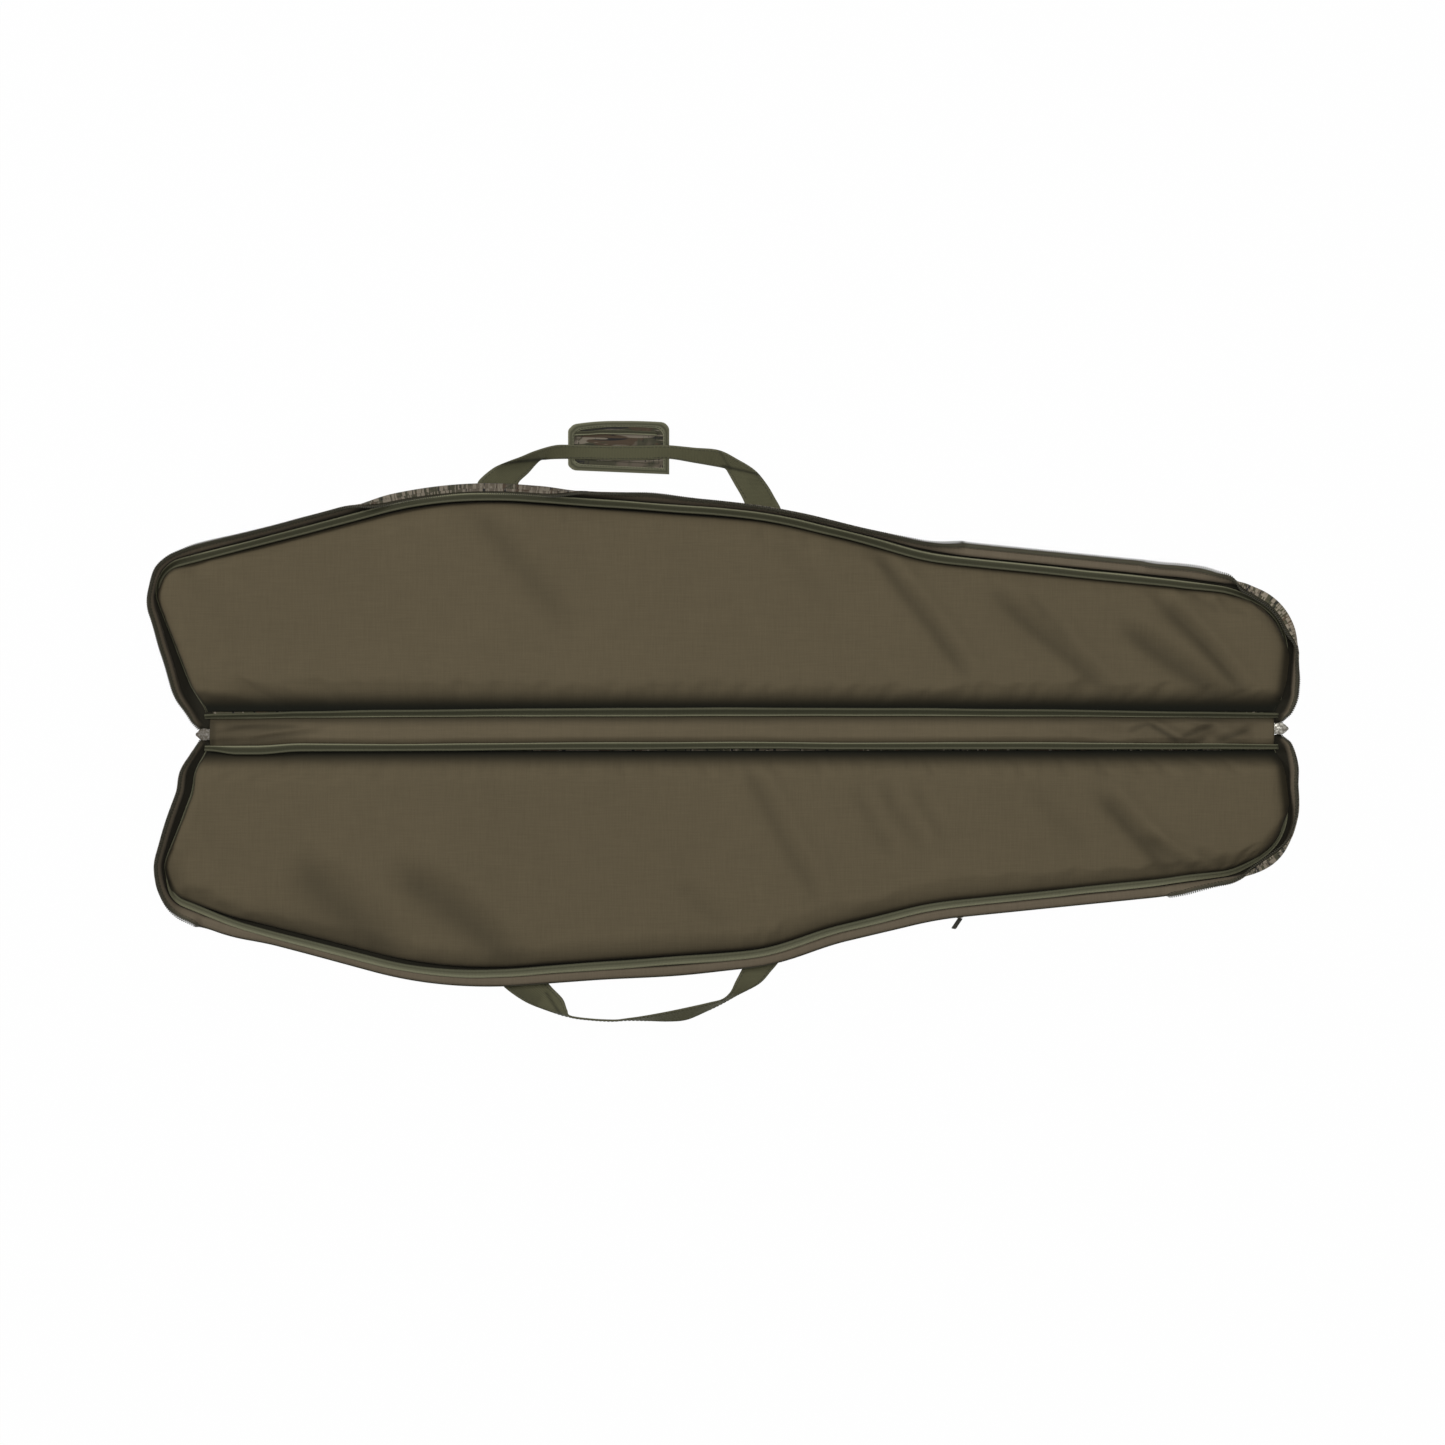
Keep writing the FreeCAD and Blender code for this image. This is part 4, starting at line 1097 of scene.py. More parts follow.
def build_spine():
    """The spine's rumpled strip of lining between its two bound seams."""
    low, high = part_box("spine_lining")
    start, end = low.x - 0.0045, high.x + 0.0045

    def place(u, v):
        x = start + (end - start) * u
        bottom = spine_line(SPINE_FOOT, x, LOWER, 4.0) - 0.001
        top = spine_line(SPINE_FOOT, x, UPPER, 3.0) + 0.001
        y = bottom + (top - bottom) * v
        across = min(1.0, 4 * v * (1 - v) * 1.35)
        muzzle, butt = smoothstep(0.34, 0.44, x), smoothstep(-0.42, -0.50, x)
        slant = x + 0.022 * (v - 0.5)
        fold = ripple(slant * 30, v * 1.3, 0, 9.0) * (0.0010 + 0.0085 * muzzle)
        fold += ripple(x * 16 - v * 1.6, v * 2.6, 0, 10.0) * 0.0075 * butt
        fold += ripple(x * 10, v * 0.9, 0, 11.0) * 0.0016
        fold += crease_lift(SPINE_FOLDS, x, y) * 0.6
        z = low.z + 0.0014 + (0.0056 + fold) * across
        return Vector((x, y, max(low.z + 0.0004, z))), x, y

    piece = cloth_piece("spine_pad", 460, 24, place, 0.0022, -1.0)

    # Painted shade on the spine's lining: darker beside its two bound seams, at its butt end, towards both
    # ends and in its folds.
    def depth(co):
        top = spine_line(SPINE_FOOT, co.x, UPPER, 3.0)
        bottom = spine_line(SPINE_FOOT, co.x, LOWER, 4.0)
        near_top = 1 - smoothstep(-0.002, 0.0125, top - co.y)
        near_bottom = 1 - smoothstep(-0.002, 0.006, co.y - bottom)
        near_end = 0.7 * smoothstep(0.017, 0.0, co.x - start)
        ends = 0.34 * smoothstep(-0.42, -0.50, co.x) + 0.19 * smoothstep(0.34, 0.50, co.x)
        folds = ends + crease_lift(SPINE_FOLDS, co.x, co.y, 5)
        return min(1.0, max(0.85 * near_top, 0.55 * near_bottom, near_end, folds))

    shade_dips(piece, depth)
    dress(piece, "spine lining", "spine", ("spine_lining", "spine_foam"))


# Across a folded tape: share of the width, half the thickness and how light it is painted, for
# a tape that shows both its rims and for one that turns its outer face up. The lightness is a
# painted highlight on the folded rims, partly rim wear, and on the second the lit face by its foot.
TAPE_SECTIONS = {
    "rims": (
        (0.00, 0.55, 1.0), (0.05, 0.95, 1.0), (0.17, 1.05, 0.95), (0.28, 0.70, 0.15),
        (0.52, 0.50, 0.0), (0.76, 0.60, 0.05), (0.87, 1.00, 0.20), (0.94, 1.00, 0.28),
        (1.00, 0.60, 0.20),
    ),
    "face": (
        (0.00, 0.55, 0.6), (0.05, 0.95, 0.85), (0.18, 1.15, 1.0), (0.32, 1.00, 0.95),
        (0.42, 0.75, 0.55), (0.54, 0.60, 0.45), (0.72, 0.60, 0.30), (0.92, 0.80, 0.35),
        (1.00, 0.50, 0.15),
    ),
}


def bound_tape(name, feet, edges, thickness, bow=0.0, section="rims"):
    """A folded tape between two lines, thick along both its rims, which carry a painted highlight that is
    partly rim wear.
    """
    rings, along, total = [], [], 0.0
    heads = np.gradient(np.array([tuple(p) for p in feet]), axis=0)
    for i, (foot, edge) in enumerate(zip(feet, edges)):
        across = edge - foot
        face = Vector(heads[i]).cross(across).normalized()
        if face.z < 0:
            face = -face
        if i:
            total += (foot - feet[i - 1]).length
        along.append(total)
        upper, lower = [], []
        for share, half, _ in TAPE_SECTIONS[section]:
            middle = foot + across * share + face * (bow * 4 * share * (1 - share))
            upper.append(middle + face * (thickness / 2 * half))
            lower.append(middle - face * (thickness / 2 * half))
        rings.append(upper + lower[::-1])
    width = (edges[len(edges) // 2] - feet[len(feet) // 2]).length
    shares = [row[0] for row in TAPE_SECTIONS[section]]
    wear_and_painted_light = [row[2] for row in TAPE_SECTIONS[section]]
    around = [width * k for k in shares + shares[::-1] + [0.0]]
    return loft(name, rings, along, around, wear_and_painted_light + wear_and_painted_light[::-1])


def build_spine_binding(side, sizes):
    """The bound seam along one edge of the spine: it leans out over the pad."""
    low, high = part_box(f"spine_{side}_binding")
    sign, count = SIDES[side], 420
    feet, edges = [], []
    for i in range(count + 1):
        x = low.x - 0.010 + (high.x - low.x + 0.019) * i / count
        foot = spine_line(SPINE_FOOT, x, side, 3.0 if side == UPPER else 4.0)
        edge = spine_line(SPINE_EDGE, x, side, 5.0 if side == UPPER else 6.0)
        feet.append(Vector((x, foot, low.z + 0.0036)))
        edges.append(Vector((x, edge, low.z + 0.0088 + 0.0006 * ripple(x * 9, 0, 0, sign))))
    name = f"spine_{side}_bound_seam"
    piece = bound_tape(name, feet, edges, sizes.binding_thickness, 0.0007)
    dress(piece, "olive binding", None, (f"spine_{side}_binding",))
    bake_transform(piece)
    ups = [(0, -sign * 0.4, 1)] * (count + 1)
    path = [f.lerp(e, 0.20) + Vector((0, 0, 0.0008)) for f, e in zip(feet, edges)]
    row = stitches(name + "_stitches", path, ups, 3.8 * MM)
    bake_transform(row)


# ------------------------------------------------------------------ binding


def build_binding(side, sizes):
    """The bound seam round a pad: it lies over the pad's shoulder along the long edges."""
    seam, count, keys = SEAMS[side], 620, BOUND_SEAM[side]
    feet, edges = [], []
    for i in range(count + 1):
        u = i / count
        out, high, in_edge, in_high = (keyed(keys, u, c) * MM for c in (1, 2, 3, 4))
        wander = 0.0006 * ripple(u * 34, 0, 0, 14.0)
        sway = 0.0007 * ripple(u * 24, 0, 0, 15.0)
        feet.append(Vector((*seam.at(u, out + wander), high)))
        edges.append(Vector((*seam.at(u, in_edge + sway), in_high + sway)))
    # The lower binding's section paints its face by the foot lighter, as a painted highlight where light
    # falls.
    section = "rims" if side == UPPER else "face"
    piece = bound_tape(side + "_bound_seam", feet, edges, sizes.binding_thickness, 0.0006, section)
    dress(piece, "olive binding", side + "_half", (side + "_binding",))
    ups = [(0, 0, 1)] * (count + 1)
    path = [f.lerp(e, 0.79) + Vector((0, 0, 0.0007)) for f, e in zip(feet, edges)]
    stitches(side + "_bound_seam_stitches", path, ups, 3.6 * MM, side + "_half")


# ------------------------------------------------------------------ gusset and main zip


def bend_with_spine(piece):
    """Puts a gusset part's transform into its mesh and leaves its object at the origin."""
    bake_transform(piece)


def gusset_strip(name, side, rows, low, width, out, thickness):
    """A strip of cloth along a gusset, from a height up its cloth and out metres outwards."""
    gusset = GUSSETS[side]

    def place(u, v):
        return gusset.at(u, low + width * v, out), u * gusset.line.length, v * width

    return cloth_piece(side + name, GUSSET_COLUMNS, rows, place, thickness)


def build_gusset(side):
    """The half gusset: reed cloth outside, lining inside, on its own foot line."""
    gusset, tall = GUSSETS[side], GUSSET_HEIGHT[side]
    length = gusset.line.length

    def inner(u, v):
        height = v * (tall + GUSSET_TUCK) - GUSSET_TUCK
        if height < 0:
            return gusset.floor(u, -height) + Vector((0, 0, 0.0002)), u * length, height
        return gusset.at(u, height, -0.0005), u * length, height

    cloth = gusset_strip("_gusset_outside", side, 10, 0.0, tall, 0.0005, 0.0008)
    dress(cloth, "reed gusset cloth", None, (side + "_wall",))
    bend_with_spine(cloth)
    lining = cloth_piece(side + "_gusset_lining", GUSSET_COLUMNS, 18, inner, 0.0007)
    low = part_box(side + "_wall")[0].z
    # Painted shade: the lining darkens towards its foot, down in the gap beside the pad.
    shade_dips(lining, lambda co: 1 - smoothstep(low, low + 0.0080, co.z))
    dress(lining, "gusset lining")
    bend_with_spine(lining)


def build_zip(side):
    """One side of the main zip: woven tape along the gusset's edge, and the coil on it."""
    gusset, tall = GUSSETS[side], GUSSET_HEIGHT[side]
    low, width = TAPE_FROM[side], TAPE_TO[side] - TAPE_FROM[side]
    piece = gusset_strip("_zip_woven_tape", side, 5, low, width, -0.0012, 0.0008)
    dress(piece, "zip tape cloth", None, (side + "_zip_tape",))
    bend_with_spine(piece)

    edge = gusset_strip("_gusset_hem", side, 3, tall - 0.0012, 0.0030, 0.0012, 0.0007)
    dress(edge, "reed gusset cloth")
    bend_with_spine(edge)

    centres, sides, ups = [], [], []
    count = 900
    for i in range(count + 1):
        u = i / count
        here = gusset.at(u, COIL_AT)
        sides.append((gusset.at(u, COIL_AT + 0.0008) - gusset.at(u, COIL_AT - 0.0008)).normalized())
        ups.append((gusset.at(u, COIL_AT, 0.001) - here).normalized())
        centres.append(here - ups[-1] * 0.0008)
    teeth = coil(side + "_zip_teeth", centres, sides, ups, ZIP_TURN, 0.0032, 0.0022, ZIP_WIRE)
    dress(teeth, "zip coil nylon", None, (side + "_zip_coil",))
    bend_with_spine(teeth)

    path, normals = [], []
    for i in range(count + 1):
        u = 0.012 + 0.976 * i / count
        path.append(gusset.at(u, tall - 0.0014, -0.0018))
        normals.append(path[-1] - gusset.at(u, tall - 0.0014))
    row = stitches(side + "_zip_stitches", path, normals, 3.6 * MM)
    bend_with_spine(row)


# ------------------------------------------------------------------ covers and webbing underneath


def build_cover(side):
    """The outside cloth of one half, turned up at its rim to meet the gusset."""
    gusset, sign = GUSSETS[side], SIDES[side]
    box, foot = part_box(side + "_shell"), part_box(side + "_wall")[0].z
    low = box[0].z

    def rim(share):
        spot = gusset.at(0.004 + 0.992 * share, 0.0)
        return Vector((spot.x, spot.y))

    def place(u, v):
        spot = patch(rim, *COVER_CORNERS, u, v)
        edge = max(1 - u / 0.010, 1 - (1 - u) / 0.010, 1 - (1 - v) / 0.045, 0.0)
        level = low + 0.0002 - 0.0011 * (1 - smoothstep(0.016, 0.024, abs(spot.y)))
        level += 0.0003 * ripple(spot.x * 9, spot.y * 9, 0, 17.0)
        turned_up = smoothstep(0.0, 1.0, edge) * smoothstep(0.012, 0.030, abs(spot.y))
        level += (foot - 0.0004 - level) * turned_up
        return Vector((spot.x, spot.y, level)), spot.x, spot.y

    piece = cloth_piece(side + "_cover", 260, 60, place, 0.0009, 1.0)
    dress(piece, "reed cloth", None, (side + "_shell",))
    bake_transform(piece)


def build_spine_cover():
    low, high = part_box("spine_shell")

    def place(u, v):
        x = low.x - 0.002 + (high.x - low.x + 0.004) * u
        y = -0.0100 + 0.0200 * v
        return Vector((x, y, low.z + 0.0004 + 0.0002 * ripple(x * 20, y * 50, 0, 18.0))), x, y

    piece = cloth_piece("spine_cover", 200, 8, place, 0.0009, 1.0)
    dress(piece, "reed cloth", "spine", ("spine_shell",))


def build_straps():
    """The webbing that runs under each half to its handle, sewn down along both edges."""
    for side, sign in SIDES.items():
        for which in ("left", "right"):
            node = f"{side}_{which}_strap"
            low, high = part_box(node)
            middle = (low.x + high.x) / 2
            reach = min(abs(SEAMS[side].at(share / 400)[1]) for share in range(100, 300)
                        if abs(SEAMS[side].at(share / 400)[0] - middle) < 0.022)
            near, far = sign * 0.0205, sign * (reach - 0.002)
            level = (low.z + high.z) / 2
            stops = [near + (far - near) * k / 4 for k in range(5)]
            first = [(low.x / MM, y / MM, level / MM) for y in stops]
            second = [(high.x / MM, y / MM, level / MM) for y in stops]
            piece = ribbon(node + "_webbing", first, second, 60, high.z - low.z - 0.0003)
            dress(piece, "olive webbing", side + "_half", (node,))
            ends, below = (near + sign * 0.004, far - sign * 0.012), low.z + 0.0001
            for k, x in enumerate((low.x + 0.0025, high.x - 0.0025)):
                path = [(x, y, below) for y in ends]
                down, name = [(0, 0, -1)] * 2, f"{node}_stitches_{k}"
                stitches(name, path, down, 4 * MM, side + "_half", 0.8 * MM)


# ------------------------------------------------------------------ handles and wrap

# The two edges of each handle's webbing, in millimetres, from the butt end to the muzzle end.
UPPER_HANDLE_EDGES = (
    ((-241, 246, 1.2), (-203, 246, 1.2)),
    ((-250, 256, 1.8), (-210, 254, 1.4)),
    ((-259, 263, 2.4), (-217, 262, 1.6)),
    ((-243, 277.7, 6.0), (-206, 273.5, 2.2)),
    ((-226.6, 284.8, 10.5), (-198, 282.5, 2.6)),
    ((-214, 289.0, 14.0), (-193, 287.0, 2.8)),
    ((-198, 295.5, 14.0), (-187.5, 287.8, 3.0)),
    ((-178, 301.3, 13.0), (-180, 288.4, 3.6)),
    ((-163, 302.2, 10.0), (-163, 288.7, 4.4)),
    ((-140, 301.8, 6.2), (-140, 288.2, 4.4)),
    ((-110, 301.2, 5.4), (-110, 287.2, 4.4)),
    ((-80, 301.6, 6.2), (-80, 287.6, 4.4)),
    ((-57, 301.7, 9.0), (-57, 288.8, 4.4)),
    ((-30, 299.0, 12.0), (-30, 284.5, 4.0)),
    ((-4, 296.3, 14.0), (-2, 279.6, 3.2)),
    ((16, 286.6, 13.0), (3.5, 277.8, 2.8)),
    ((34, 275.6, 10.0), (7, 272.5, 2.4)),
    ((46.5, 261, 6.0), (13.5, 261, 1.8)),
    ((55, 247, 3.0), (21.0, 248, 1.6)),
    ((61, 236, 2.0), (25, 238, 1.4)),
    ((63, 226, 1.4), (26, 226, 1.2)),
)
LOWER_HANDLE_EDGES = (
    ((-241, -250, 1.2), (-203, -250, 1.2)),
    ((-236, -262, 1.6), (-190, -262, 1.4)),
    ((-230, -272, 2.4), (-181, -272, 2.0)),
    ((-208, -287, 4.0), (-169.5, -283.5, 8.0)),
    ((-184, -296.5, 4.0), (-164.5, -294.5, 17.0)),
    ((-160, -302.8, 2.6), (-160, -301.0, 22.0)),
    ((-138, -305.6, 1.8), (-138, -304.0, 23.0)),
    ((-116, -306.6, 1.8), (-116, -305.2, 23.0)),
    ((-100, -306.0, 1.8), (-100, -303.4, 22.5)),
    ((-80, -306.6, 1.8), (-80, -300.4, 21.5)),
    ((-58, -307.4, 1.8), (-54, -295.6, 19.0)),
    ((-38, -305.6, 1.8), (-32, -291.0, 18.0)),
    ((-18, -297.2, 1.8), (-14, -286.8, 20.0)),
    ((-2, -289.2, 1.8), (0, -283.2, 20.0)),
    ((14, -280.6, 1.8), (8.5, -276.4, 12.0)),
    ((38, -268.2, 1.8), (14, -266.0, 4.0)),
    ((51, -254.5, 1.6), (19.5, -255.5, 2.2)),
    ((60, -243.0, 1.4), (23, -247.5, 1.6)),
    ((62, -232, 1.2), (24, -232, 1.2)),
)


# Folds across each handle's webbing: two end points and half width in millimetres, and how dark their
# painted shade is.
HANDLE_FOLDS = {
    UPPER: (
        (-232, 283, -188, 288, 1.5, 1.0), (-236, 276, -196, 286, 7.0, 0.22),
        (2, 280, 40, 271, 1.5, 0.95), (-4, 297, 8, 278, 1.6, 0.5), (30, 262, 58, 270, 8.0, 0.16),
    ),
    LOWER: (
        (-232, -270, -196, -286, 9.0, 0.42), (-186, -278, -168, -304, 1.6, 0.8),
        (0, -284, 18, -298, 1.6, 0.75), (20, -268, 52, -276, 8.0, 0.14),
    ),
}


def fold_shade(folds, co):
    """How much painted shade a spot of webbing gets from the folds across it, 0 to 1."""
    total = 0.0
    for x0, y0, x1, y1, half, dark in folds:
        start, run = Vector((x0, y0)) * MM, Vector((x1 - x0, y1 - y0)) * MM
        local = co.xy - start
        t = local.dot(run) / run.length_squared
        beside = (run.x * local.y - run.y * local.x) / run.length / (half * MM)
        total += dark * smoothstep(-0.15, 0.0, t) * smoothstep(1.15, 1.0, t) * math.exp(-beside * beside)
    return min(1.0, total)


def build_handle(side, keys, sizes):
    first = [pair[0] for pair in keys]
    second = [pair[1] for pair in keys]
    piece = ribbon(side + "_carry_webbing", first, second, 260, sizes.webbing_thickness, 8)
    add_modifier(piece, "SUBSURF", levels=1, render_levels=1)
    apply_modifiers(piece)
    # Painted shade along the folds across the webbing.
    shade_dips(piece, lambda co: fold_shade(HANDLE_FOLDS[side], co))
    dress(piece, "olive webbing", None, (side + "_handle",))
    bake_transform(piece)
    run = smooth_run(np.hstack([np.array(first, float), np.array(second, float)]) * MM, 220)
    for k, share in enumerate((0.09, 0.91)):
        path, ups = [], []
        for i in range(12, 209):
            a, b = Vector(run[i][:3]), Vector(run[i][3:])
            head = Vector(run[i + 1][:3]) + Vector(run[i + 1][3:]) - a - b
            up = (b - a).cross(head).normalized()
            if up.z < 0:
                up = -up
            path.append(a.lerp(b, share) + up * (sizes.webbing_thickness / 2))
            ups.append(up)
        name = f"{side}_carry_stitches_{k}"
        row = stitches(name, path, ups, 4.2 * MM, width=0.7 * MM)
        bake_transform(row)


def wrap_outline(u, v, inset):
    """A point of the wrap's outline patch: square at one corner, rounded at the other three."""
    base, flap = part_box("wrap_base"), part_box("wrap_flap")
    low = Vector((base[0].x, base[0].y - 0.0015))
    high = Vector((base[1].x, flap[1].y))
    size_x, size_y = high.x - low.x - 2 * inset, high.y - low.y - 2 * inset
    x = low.x + inset + size_x * u
    y = low.y + inset + size_y * v
    radius = 8.5 * MM
    for right, upper in ((0, 0), (0, 1), (1, 1)):
        cx = low.x + inset + (size_x - radius if right else radius)
        cy = low.y + inset + (size_y - radius if upper else radius)
        dx = (x - cx) * (1 if right else -1)
        dy = (y - cy) * (1 if upper else -1)
        if dx > 0 and dy > 0:
            reach = math.hypot(dx, dy)
            most = max(dx, dy)
            if reach > 1e-9:
                x = cx + (1 if right else -1) * dx / reach * most
                y = cy + (1 if upper else -1) * dy / reach * most
    y += 0.0045 * (1 - v) * (1 - u)
    left, right = max(0.0, 1 - u / 0.45), max(0.0, (u - 0.6) / 0.4)
    y -= v * (0.0046 * left * left + 0.0018 * right * right)
    return x, y


def build_wrap():
    """The padded wrap round the upper handle: reed cloth, bound all round, creased across its middle."""
    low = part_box("wrap_base")[0].z

    def place(u, v):
        x, y = wrap_outline(u, v, 0.0)
        edge = min(u * 107, (1 - u) * 107, v * 55, (1 - v) * 55)
        crown = 0.0011 * rounded_share(edge, 7.0)
        dent = 0.0006 * math.exp(-(((y - 0.295) / 0.008) ** 2))
        bow = 0.0015 * math.sin(math.pi * min(1.0, max(0.0, (x + 0.155) / 0.09)))
        for fold in (0.3060, 0.3105):
            dent += 0.0009 * math.exp(-(((y - fold - bow) / 0.0012) ** 2)) * rounded_share(edge, 9.0)
        z = low + 0.0016 + crown - dent + 0.0003 * ripple(x * 60, y * 80, 0, 20.0)
        return Vector((x, y, z)), x, y

    piece = cloth_piece("wrap_pad", 64, 36, place, 0.0020, -1.0)
    dress(piece, "reed wrap cloth", None, ("wrap_base", "wrap_flap"))
    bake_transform(piece)

    steps = 40
    loop = [(k / steps, 0.0) for k in range(steps)] + [(1.0, k / steps) for k in range(steps)]
    loop += [(1 - k / steps, 1.0) for k in range(steps)] + [(0.0, 1 - k / steps) for k in range(steps)]
    loop.append(loop[0])
    rings, along, total = [], [], 0.0
    for k, (u, v) in enumerate(loop):
        outer = Vector(wrap_outline(u, v, -0.0006))
        inner = Vector(wrap_outline(u, v, 0.0058))
        if k:
            total += (outer - previous).length
        previous = outer
        along.append(total)
        z = low + 0.0012
        section = ((inner, 0.0027), (inner.lerp(outer, 0.5), 0.0026), (outer, 0.0020), (outer, -0.0004))
        section += ((inner.lerp(outer, 0.5), -0.0012), (inner, -0.0011))
        rings.append([Vector((p.x, p.y, z + h)) for p, h in section])
    around = [0.002 * k for k in range(7)]
    # The wrap binding's lighter rims are a painted highlight, partly edge wear.
    piece = loft("wrap_edge_binding", rings, along, around, (1, 0.1, 0.9, 0.9, 0.1, 1))
    dress(piece, "olive binding")
    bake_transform(piece)

    for number, inset, height in ((0, 0.0048, 0.0029), (1, 0.0105, 0.0018)):
        path = [(*wrap_outline(u, v, inset), low + 0.0012 + height) for u, v in loop]
        ups = [(0, 0, 1)] * len(path)
        row = stitches(f"wrap_stitches_{number}", path, ups, 3.2 * MM)
        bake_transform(row)

    feet, edges = [], []
    for k in range(61):
        x = -0.156 + 0.0865 * k / 60
        y = 0.3128 + 0.0016 * math.sin(math.pi * k / 60) + 0.0004 * ripple(x * 60, 0, 0, 2.0)
        feet.append(Vector((x, y, low + 0.0044)))
        edges.append(Vector((x, y + 0.0040, low + 0.0046)))
    band = bound_tape("wrap_inner_binding", feet, edges, 0.0014)
    dress(band, "olive binding")
    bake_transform(band)

    for node, name, finish, body in (
        ("wrap_loop_patch", "wrap_loop_strip", "loop pile", "upper_handle"),
        ("wrap_hook_patch", "wrap_hook_strip", "hook pile", "wrap_flap"),
    ):
        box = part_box(node)

        def pile(u, v, box=box):
            x = box[0].x + (box[1].x - box[0].x) * u
            y = box[0].y + (box[1].y - box[0].y) * v
            edge = min(u * 80, (1 - u) * 80, v * 16, (1 - v) * 16)
            tuft = 0.00012 * ripple(x * 900, y * 900, 0, 3.0)
            return Vector((x, y, box[0].z + 0.0003 - 0.0002 * rounded_share(edge, 1.5) + tuft)), x, y

        piece = cloth_piece(name, 90, 24, pile, 0.0006, 1.0)
        dress(piece, finish, body, (node,))


# ------------------------------------------------------------------ sliders and pulls


def shield_half(share):
    """Half the width of a slider's plate as a share of its full half width, nose at 1."""
    shoulder = 0.64 + 0.36 * smoothstep(0.05, 0.40, share)
    nose = max(0.0, 1 - max(0.0, (share - 0.52) / 0.48) ** 1.7)
    return max(0.10, shoulder * nose**0.9)


def slider_plate(name, box, nose, low, high, crown):
    """One plate of a slider, crowned and rounded, its nose towards nose."""
    length, half = box[1].x - box[0].x, (box[1].y - box[0].y) / 2
    middle = (box[0].y + box[1].y) / 2

    def place(u, v):
        x = (box[0].x if nose > 0 else box[1].x) + nose * length * u
        y = middle + (v - 0.5) * 2 * half * shield_half(u)
        bulge = crown * (1 - (2 * v - 1) ** 2) * math.sin(math.pi * min(1, u * 1.02))
        return Vector((x, y, (low + high) / 2 + bulge)), x, y

    piece = cloth_piece(name, 20, 12, place, high - low, 0.0)
    add_modifier(piece, "BEVEL", width=0.0003, segments=2, limit_method="ANGLE", angle_limit=0.9)
    apply_modifiers(piece)
    return piece


def join_pieces(name, pieces):
    pick(pieces[0])
    for piece in pieces[1:]:
        piece.select_set(True)
    bpy.ops.object.join()
    joined = bpy.context.object
    joined.name = joined.data.name = name
    return joined


def build_slider(where, nose, finish):
    """A zip slider: two shield plates, a post between them, side lips and the bridge below."""
    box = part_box(where + "_slider")
    low, high = box[0].z, box[1].z
    middle = (box[0] + box[1]) / 2
    parts = [
        slider_plate(where + "_slider_body", box, nose, high - 0.0013, high, 0.0005),
        slider_plate(where + "_outer_plate", box, nose, low, low + 0.0013, -0.0004),
    ]
    deselect()
    spot, depth = (middle.x + nose * 0.0046, middle.y, middle.z), high - low - 0.0016
    bpy.ops.mesh.primitive_cylinder_add(vertices=12, radius=0.0016, depth=depth, location=spot)
    post = bpy.context.object
    post.scale.x = 1.7
    settle(post)
    parts.append(post)
    for sign in (-1, 1):
        for level in (low + 0.0015, high - 0.0015):
            deselect()
            bpy.ops.mesh.primitive_cube_add(
                size=1.0,
                location=(middle.x - nose * 0.0024, middle.y + sign * 0.0054, level),
                scale=(0.0100, 0.0010, 0.0016),
            )
            lip = bpy.context.object
            settle(lip)
            add_modifier(lip, "BEVEL", width=0.0003, segments=2)
            apply_modifiers(lip)
            parts.append(lip)
    deselect()
    bpy.ops.mesh.primitive_torus_add(
        major_radius=0.0042,
        minor_radius=0.0008,
        major_segments=28,
        minor_segments=10,
        location=(middle.x + nose * 0.001, middle.y, low + 0.0006),
        rotation=(math.pi / 2, 0, 0),
    )
    bridge = bpy.context.object
    bridge.scale.y = 0.42
    settle(bridge)
    parts.append(bridge)
    piece = join_pieces(where + "_slider_body", parts)
    outward(piece)
    dress(piece, finish, "spine", (where + "_slider",))
    pick(piece)
    bpy.ops.object.shade_smooth_by_angle(angle=math.radians(40))
    deselect()


def build_pull(node, name, body, finish):
    """A stamped pull tab with a slot, made from two rounded outlines bridged and thickened."""
    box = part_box(node)
    middle, size = (box[0] + box[1]) / 2, box[1] - box[0]
    deselect()
    bpy.ops.mesh.primitive_circle_add(vertices=48, radius=0.5, fill_type="NOTHING", location=(0, 0, 0))
    tab = bpy.context.object
    tab.name = tab.data.name = name
    bpy.ops.object.mode_set(mode="EDIT")
    bpy.ops.mesh.select_all(action="SELECT")
    bpy.ops.mesh.duplicate()
    bpy.ops.transform.resize(value=(0.62, 0.46, 1.0), center_override=(0, 0, 0))
    bpy.ops.mesh.select_all(action="SELECT")
    bpy.ops.mesh.bridge_edge_loops()
    bpy.ops.object.mode_set(mode="OBJECT")
    for vertex in tab.data.vertices:
        angle = math.atan2(vertex.co.y, vertex.co.x)
        reach = vertex.co.length * 2
        square = (abs(math.cos(angle)) ** 3.2 + abs(math.sin(angle)) ** 3.2) ** (-1 / 3.2)
        scale = square * (reach if reach > 0.9 else reach * 0.96)
        vertex.co.x = math.cos(angle) * scale * size.x / 2
        vertex.co.y = math.sin(angle) * scale * size.y / 2
    tab.location = middle
    settle(tab)
    add_modifier(tab, "SOLIDIFY", thickness=size.z, offset=0.0)
    add_modifier(tab, "BEVEL", width=0.0002, segments=2, limit_method="ANGLE")
    apply_modifiers(tab)
    outward(tab)
    dress(tab, finish, body, (node,))
    pick(tab)
    bpy.ops.object.shade_smooth_by_angle(angle=math.radians(40))
    deselect()


